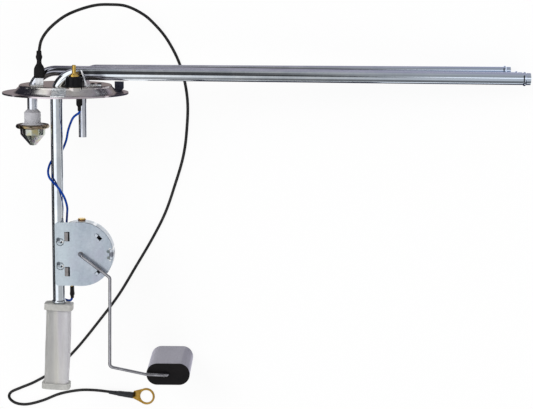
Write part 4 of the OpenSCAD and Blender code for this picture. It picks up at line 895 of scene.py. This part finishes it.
sky = {   # what the steel mirrors: degrees around from the viewer's side, rise from -1 to 1, and level
    "plainLevel": 0.72,
    "around": [(-180, 0.02), (-61, 0.02), (-57, 1.25), (-7, 1.2), (0, 0.55), (75, 0.48), (83, 0.1),
               (180, 0.3)],
    "rise": [(-1, 0.3), (-0.68, 0.35), (-0.6, 1.0), (0.88, 1.0), (0.92, 0.4), (1, 0.4)],
    "patches": [   # around, from and to with the soft edge, then the same for the rise, then the level
        ((-50, 180, 10), (0.9, 1.1, 0.03), 0.42), ((-16, 3, 6), (0.04, 0.9, 0.03), 0.06),
        ((-108, -55, 6), (0.7, 0.93, 0.03), 1.2), ((6, 78, 8), (0.5, 0.88, 0.05), 0.34),
        ((8, 40, 4), (0.17, 0.36, 0.04), 1.25), ((78, 180, 3), (0.4, 0.9, 0.05), 0.33)]}


def emptyTree(block):
    block.use_nodes = True
    block.node_tree.nodes.clear()
    return block.node_tree


def addCards():
    for name, left, right, low, high, lift, tone in cards:
        clearSelection()
        bpy.ops.mesh.primitive_plane_add(size=1, location=((left + right) / 2 * mm, (low + high) / 2 * mm,
                                                           (rest["bench"] + lift) * mm))
        card = bpy.context.object
        card.name = name
        card.scale = ((right - left) * mm, (high - low) * mm, 1)
        card.visible_camera = card.visible_diffuse = card.visible_transmission = card.visible_shadow = False
        material = bpy.data.materials.new(name)
        tree = emptyTree(material)
        glow = add(tree, "ShaderNodeEmission", in_Color=(*tone, 1))
        give(tree, add(tree, "ShaderNodeOutputMaterial").inputs[0], glow.outputs[0])
        card.data.materials.append(material)


def mixShaders(tree, factor, a, b):
    mix = add(tree, "ShaderNodeMixShader")
    for socket, value in zip(mix.inputs, (factor, a, b)):
        give(tree, socket, value)
    return mix.outputs[0]


def addFloor():
    clearSelection()
    bpy.ops.mesh.primitive_plane_add(size=floorSheet["size"],
                                     location=(*floorSheet["middle"], rest["bench"] * mm))
    floor = bpy.context.object
    floor.name = "paleFloor"
    material = bpy.data.materials.new("paleFloor")
    tree = emptyTree(material)
    diffuse = add(tree, "ShaderNodeBsdfDiffuse", in_Color=(*floorSheet["color"], 1))
    glow = add(tree, "ShaderNodeEmission")
    path = add(tree, "ShaderNodeLightPath").outputs
    seen = maths(tree, "MULTIPLY", path["Is Camera Ray"], floorSheet["seenWhite"])
    mirrored = maths(tree, "MAXIMUM", path["Is Glossy Ray"], path["Is Transmission Ray"])
    white = maths(tree, "MAXIMUM", seen, mirrored)
    give(tree, add(tree, "ShaderNodeOutputMaterial").inputs[0],
         mixShaders(tree, white, diffuse.outputs[0], glow.outputs[0]))
    floor.data.materials.append(material)


def rampNode(tree, stops, span):   # stops of (value, level), the values centred on 0
    ramp = add(tree, "ShaderNodeValToRGB")
    elements = ramp.color_ramp.elements
    while len(elements) > 1:
        elements.remove(elements[-1])
    elements[0].position, elements[0].color = stops[0][0] / span + 0.5, (*[stops[0][1]] * 3, 1)
    for value, level in stops[1:]:
        element = elements.new(value / span + 0.5)
        element.color = (level, level, level, 1)
    return ramp


def within(tree, value, low, high, soft):   # 1 between two values, soft at both ends
    rise = remap(tree, value, low - soft, low)
    fall = remap(tree, value, high, high + soft, 1.0, 0.0)
    return maths(tree, "MULTIPLY", rise, fall)


def background(tree, color, strength=1.0):
    sheet = add(tree, "ShaderNodeBackground", in_Strength=strength)
    give(tree, sheet.inputs["Color"], color)
    return sheet.outputs[0]


def addSky():
    world = bpy.data.worlds.new("studio")
    bpy.context.scene.world = world
    tree = emptyTree(world)
    coords = add(tree, "ShaderNodeTexCoord")
    turn = add(tree, "ShaderNodeMapping")   # directions as the unit is installed: -Y to the viewer
    turn.inputs["Rotation"].default_value = laid.to_3x3().inverted().to_euler()
    give(tree, turn.inputs["Vector"], coords.outputs["Generated"])
    parts = add(tree, "ShaderNodeSeparateXYZ")
    give(tree, parts.inputs[0], turn.outputs[0])
    toViewer, rise = maths(tree, "MULTIPLY", parts.outputs["Y"], -1.0), parts.outputs["Z"]
    around = maths(tree, "DEGREES", maths(tree, "ARCTAN2", parts.outputs["X"], toViewer))
    aroundRamp, riseRamp = rampNode(tree, sky["around"], 360), rampNode(tree, sky["rise"], 2)
    give(tree, aroundRamp.inputs[0], remap(tree, around, -180, 180))
    give(tree, riseRamp.inputs[0], remap(tree, rise, -1, 1))
    tone = mixColor(tree, 1.0, aroundRamp.outputs[0], riseRamp.outputs[0], "MULTIPLY")
    for aroundSpan, riseSpan, level in sky["patches"]:
        mask = maths(tree, "MULTIPLY", within(tree, around, *aroundSpan), within(tree, rise, *riseSpan))
        tone = mixColor(tree, mask, tone, (level, level, level))
    path = add(tree, "ShaderNodeLightPath").outputs
    plain, white = background(tree, (1, 1, 1), sky["plainLevel"]), background(tree, (1, 1, 1))
    lit = mixShaders(tree, path["Is Glossy Ray"], plain, background(tree, tone))
    seen = maths(tree, "MAXIMUM", path["Is Camera Ray"], path["Is Transmission Ray"])
    give(tree, add(tree, "ShaderNodeOutputWorld").inputs[0], mixShaders(tree, seen, lit, white))


def addLamp(name):
    lamp = lamps[name]
    turn = (Vector(lamps["aim"]) - Vector(lamp["at"])).to_track_quat("-Z", "Y")
    bpy.ops.object.light_add(type="AREA", location=lamp["at"], rotation=turn.to_euler())
    light = bpy.context.object
    light.name = name + "Light"
    light.data.size = lamp["size"]
    light.data.energy = lamp["power"]
    light.visible_glossy = False


addFloor()
addSky()
addLamp("key")
addLamp("fill")
addCards()
bpy.context.scene.view_settings.view_transform = "Standard"
print("studio set")
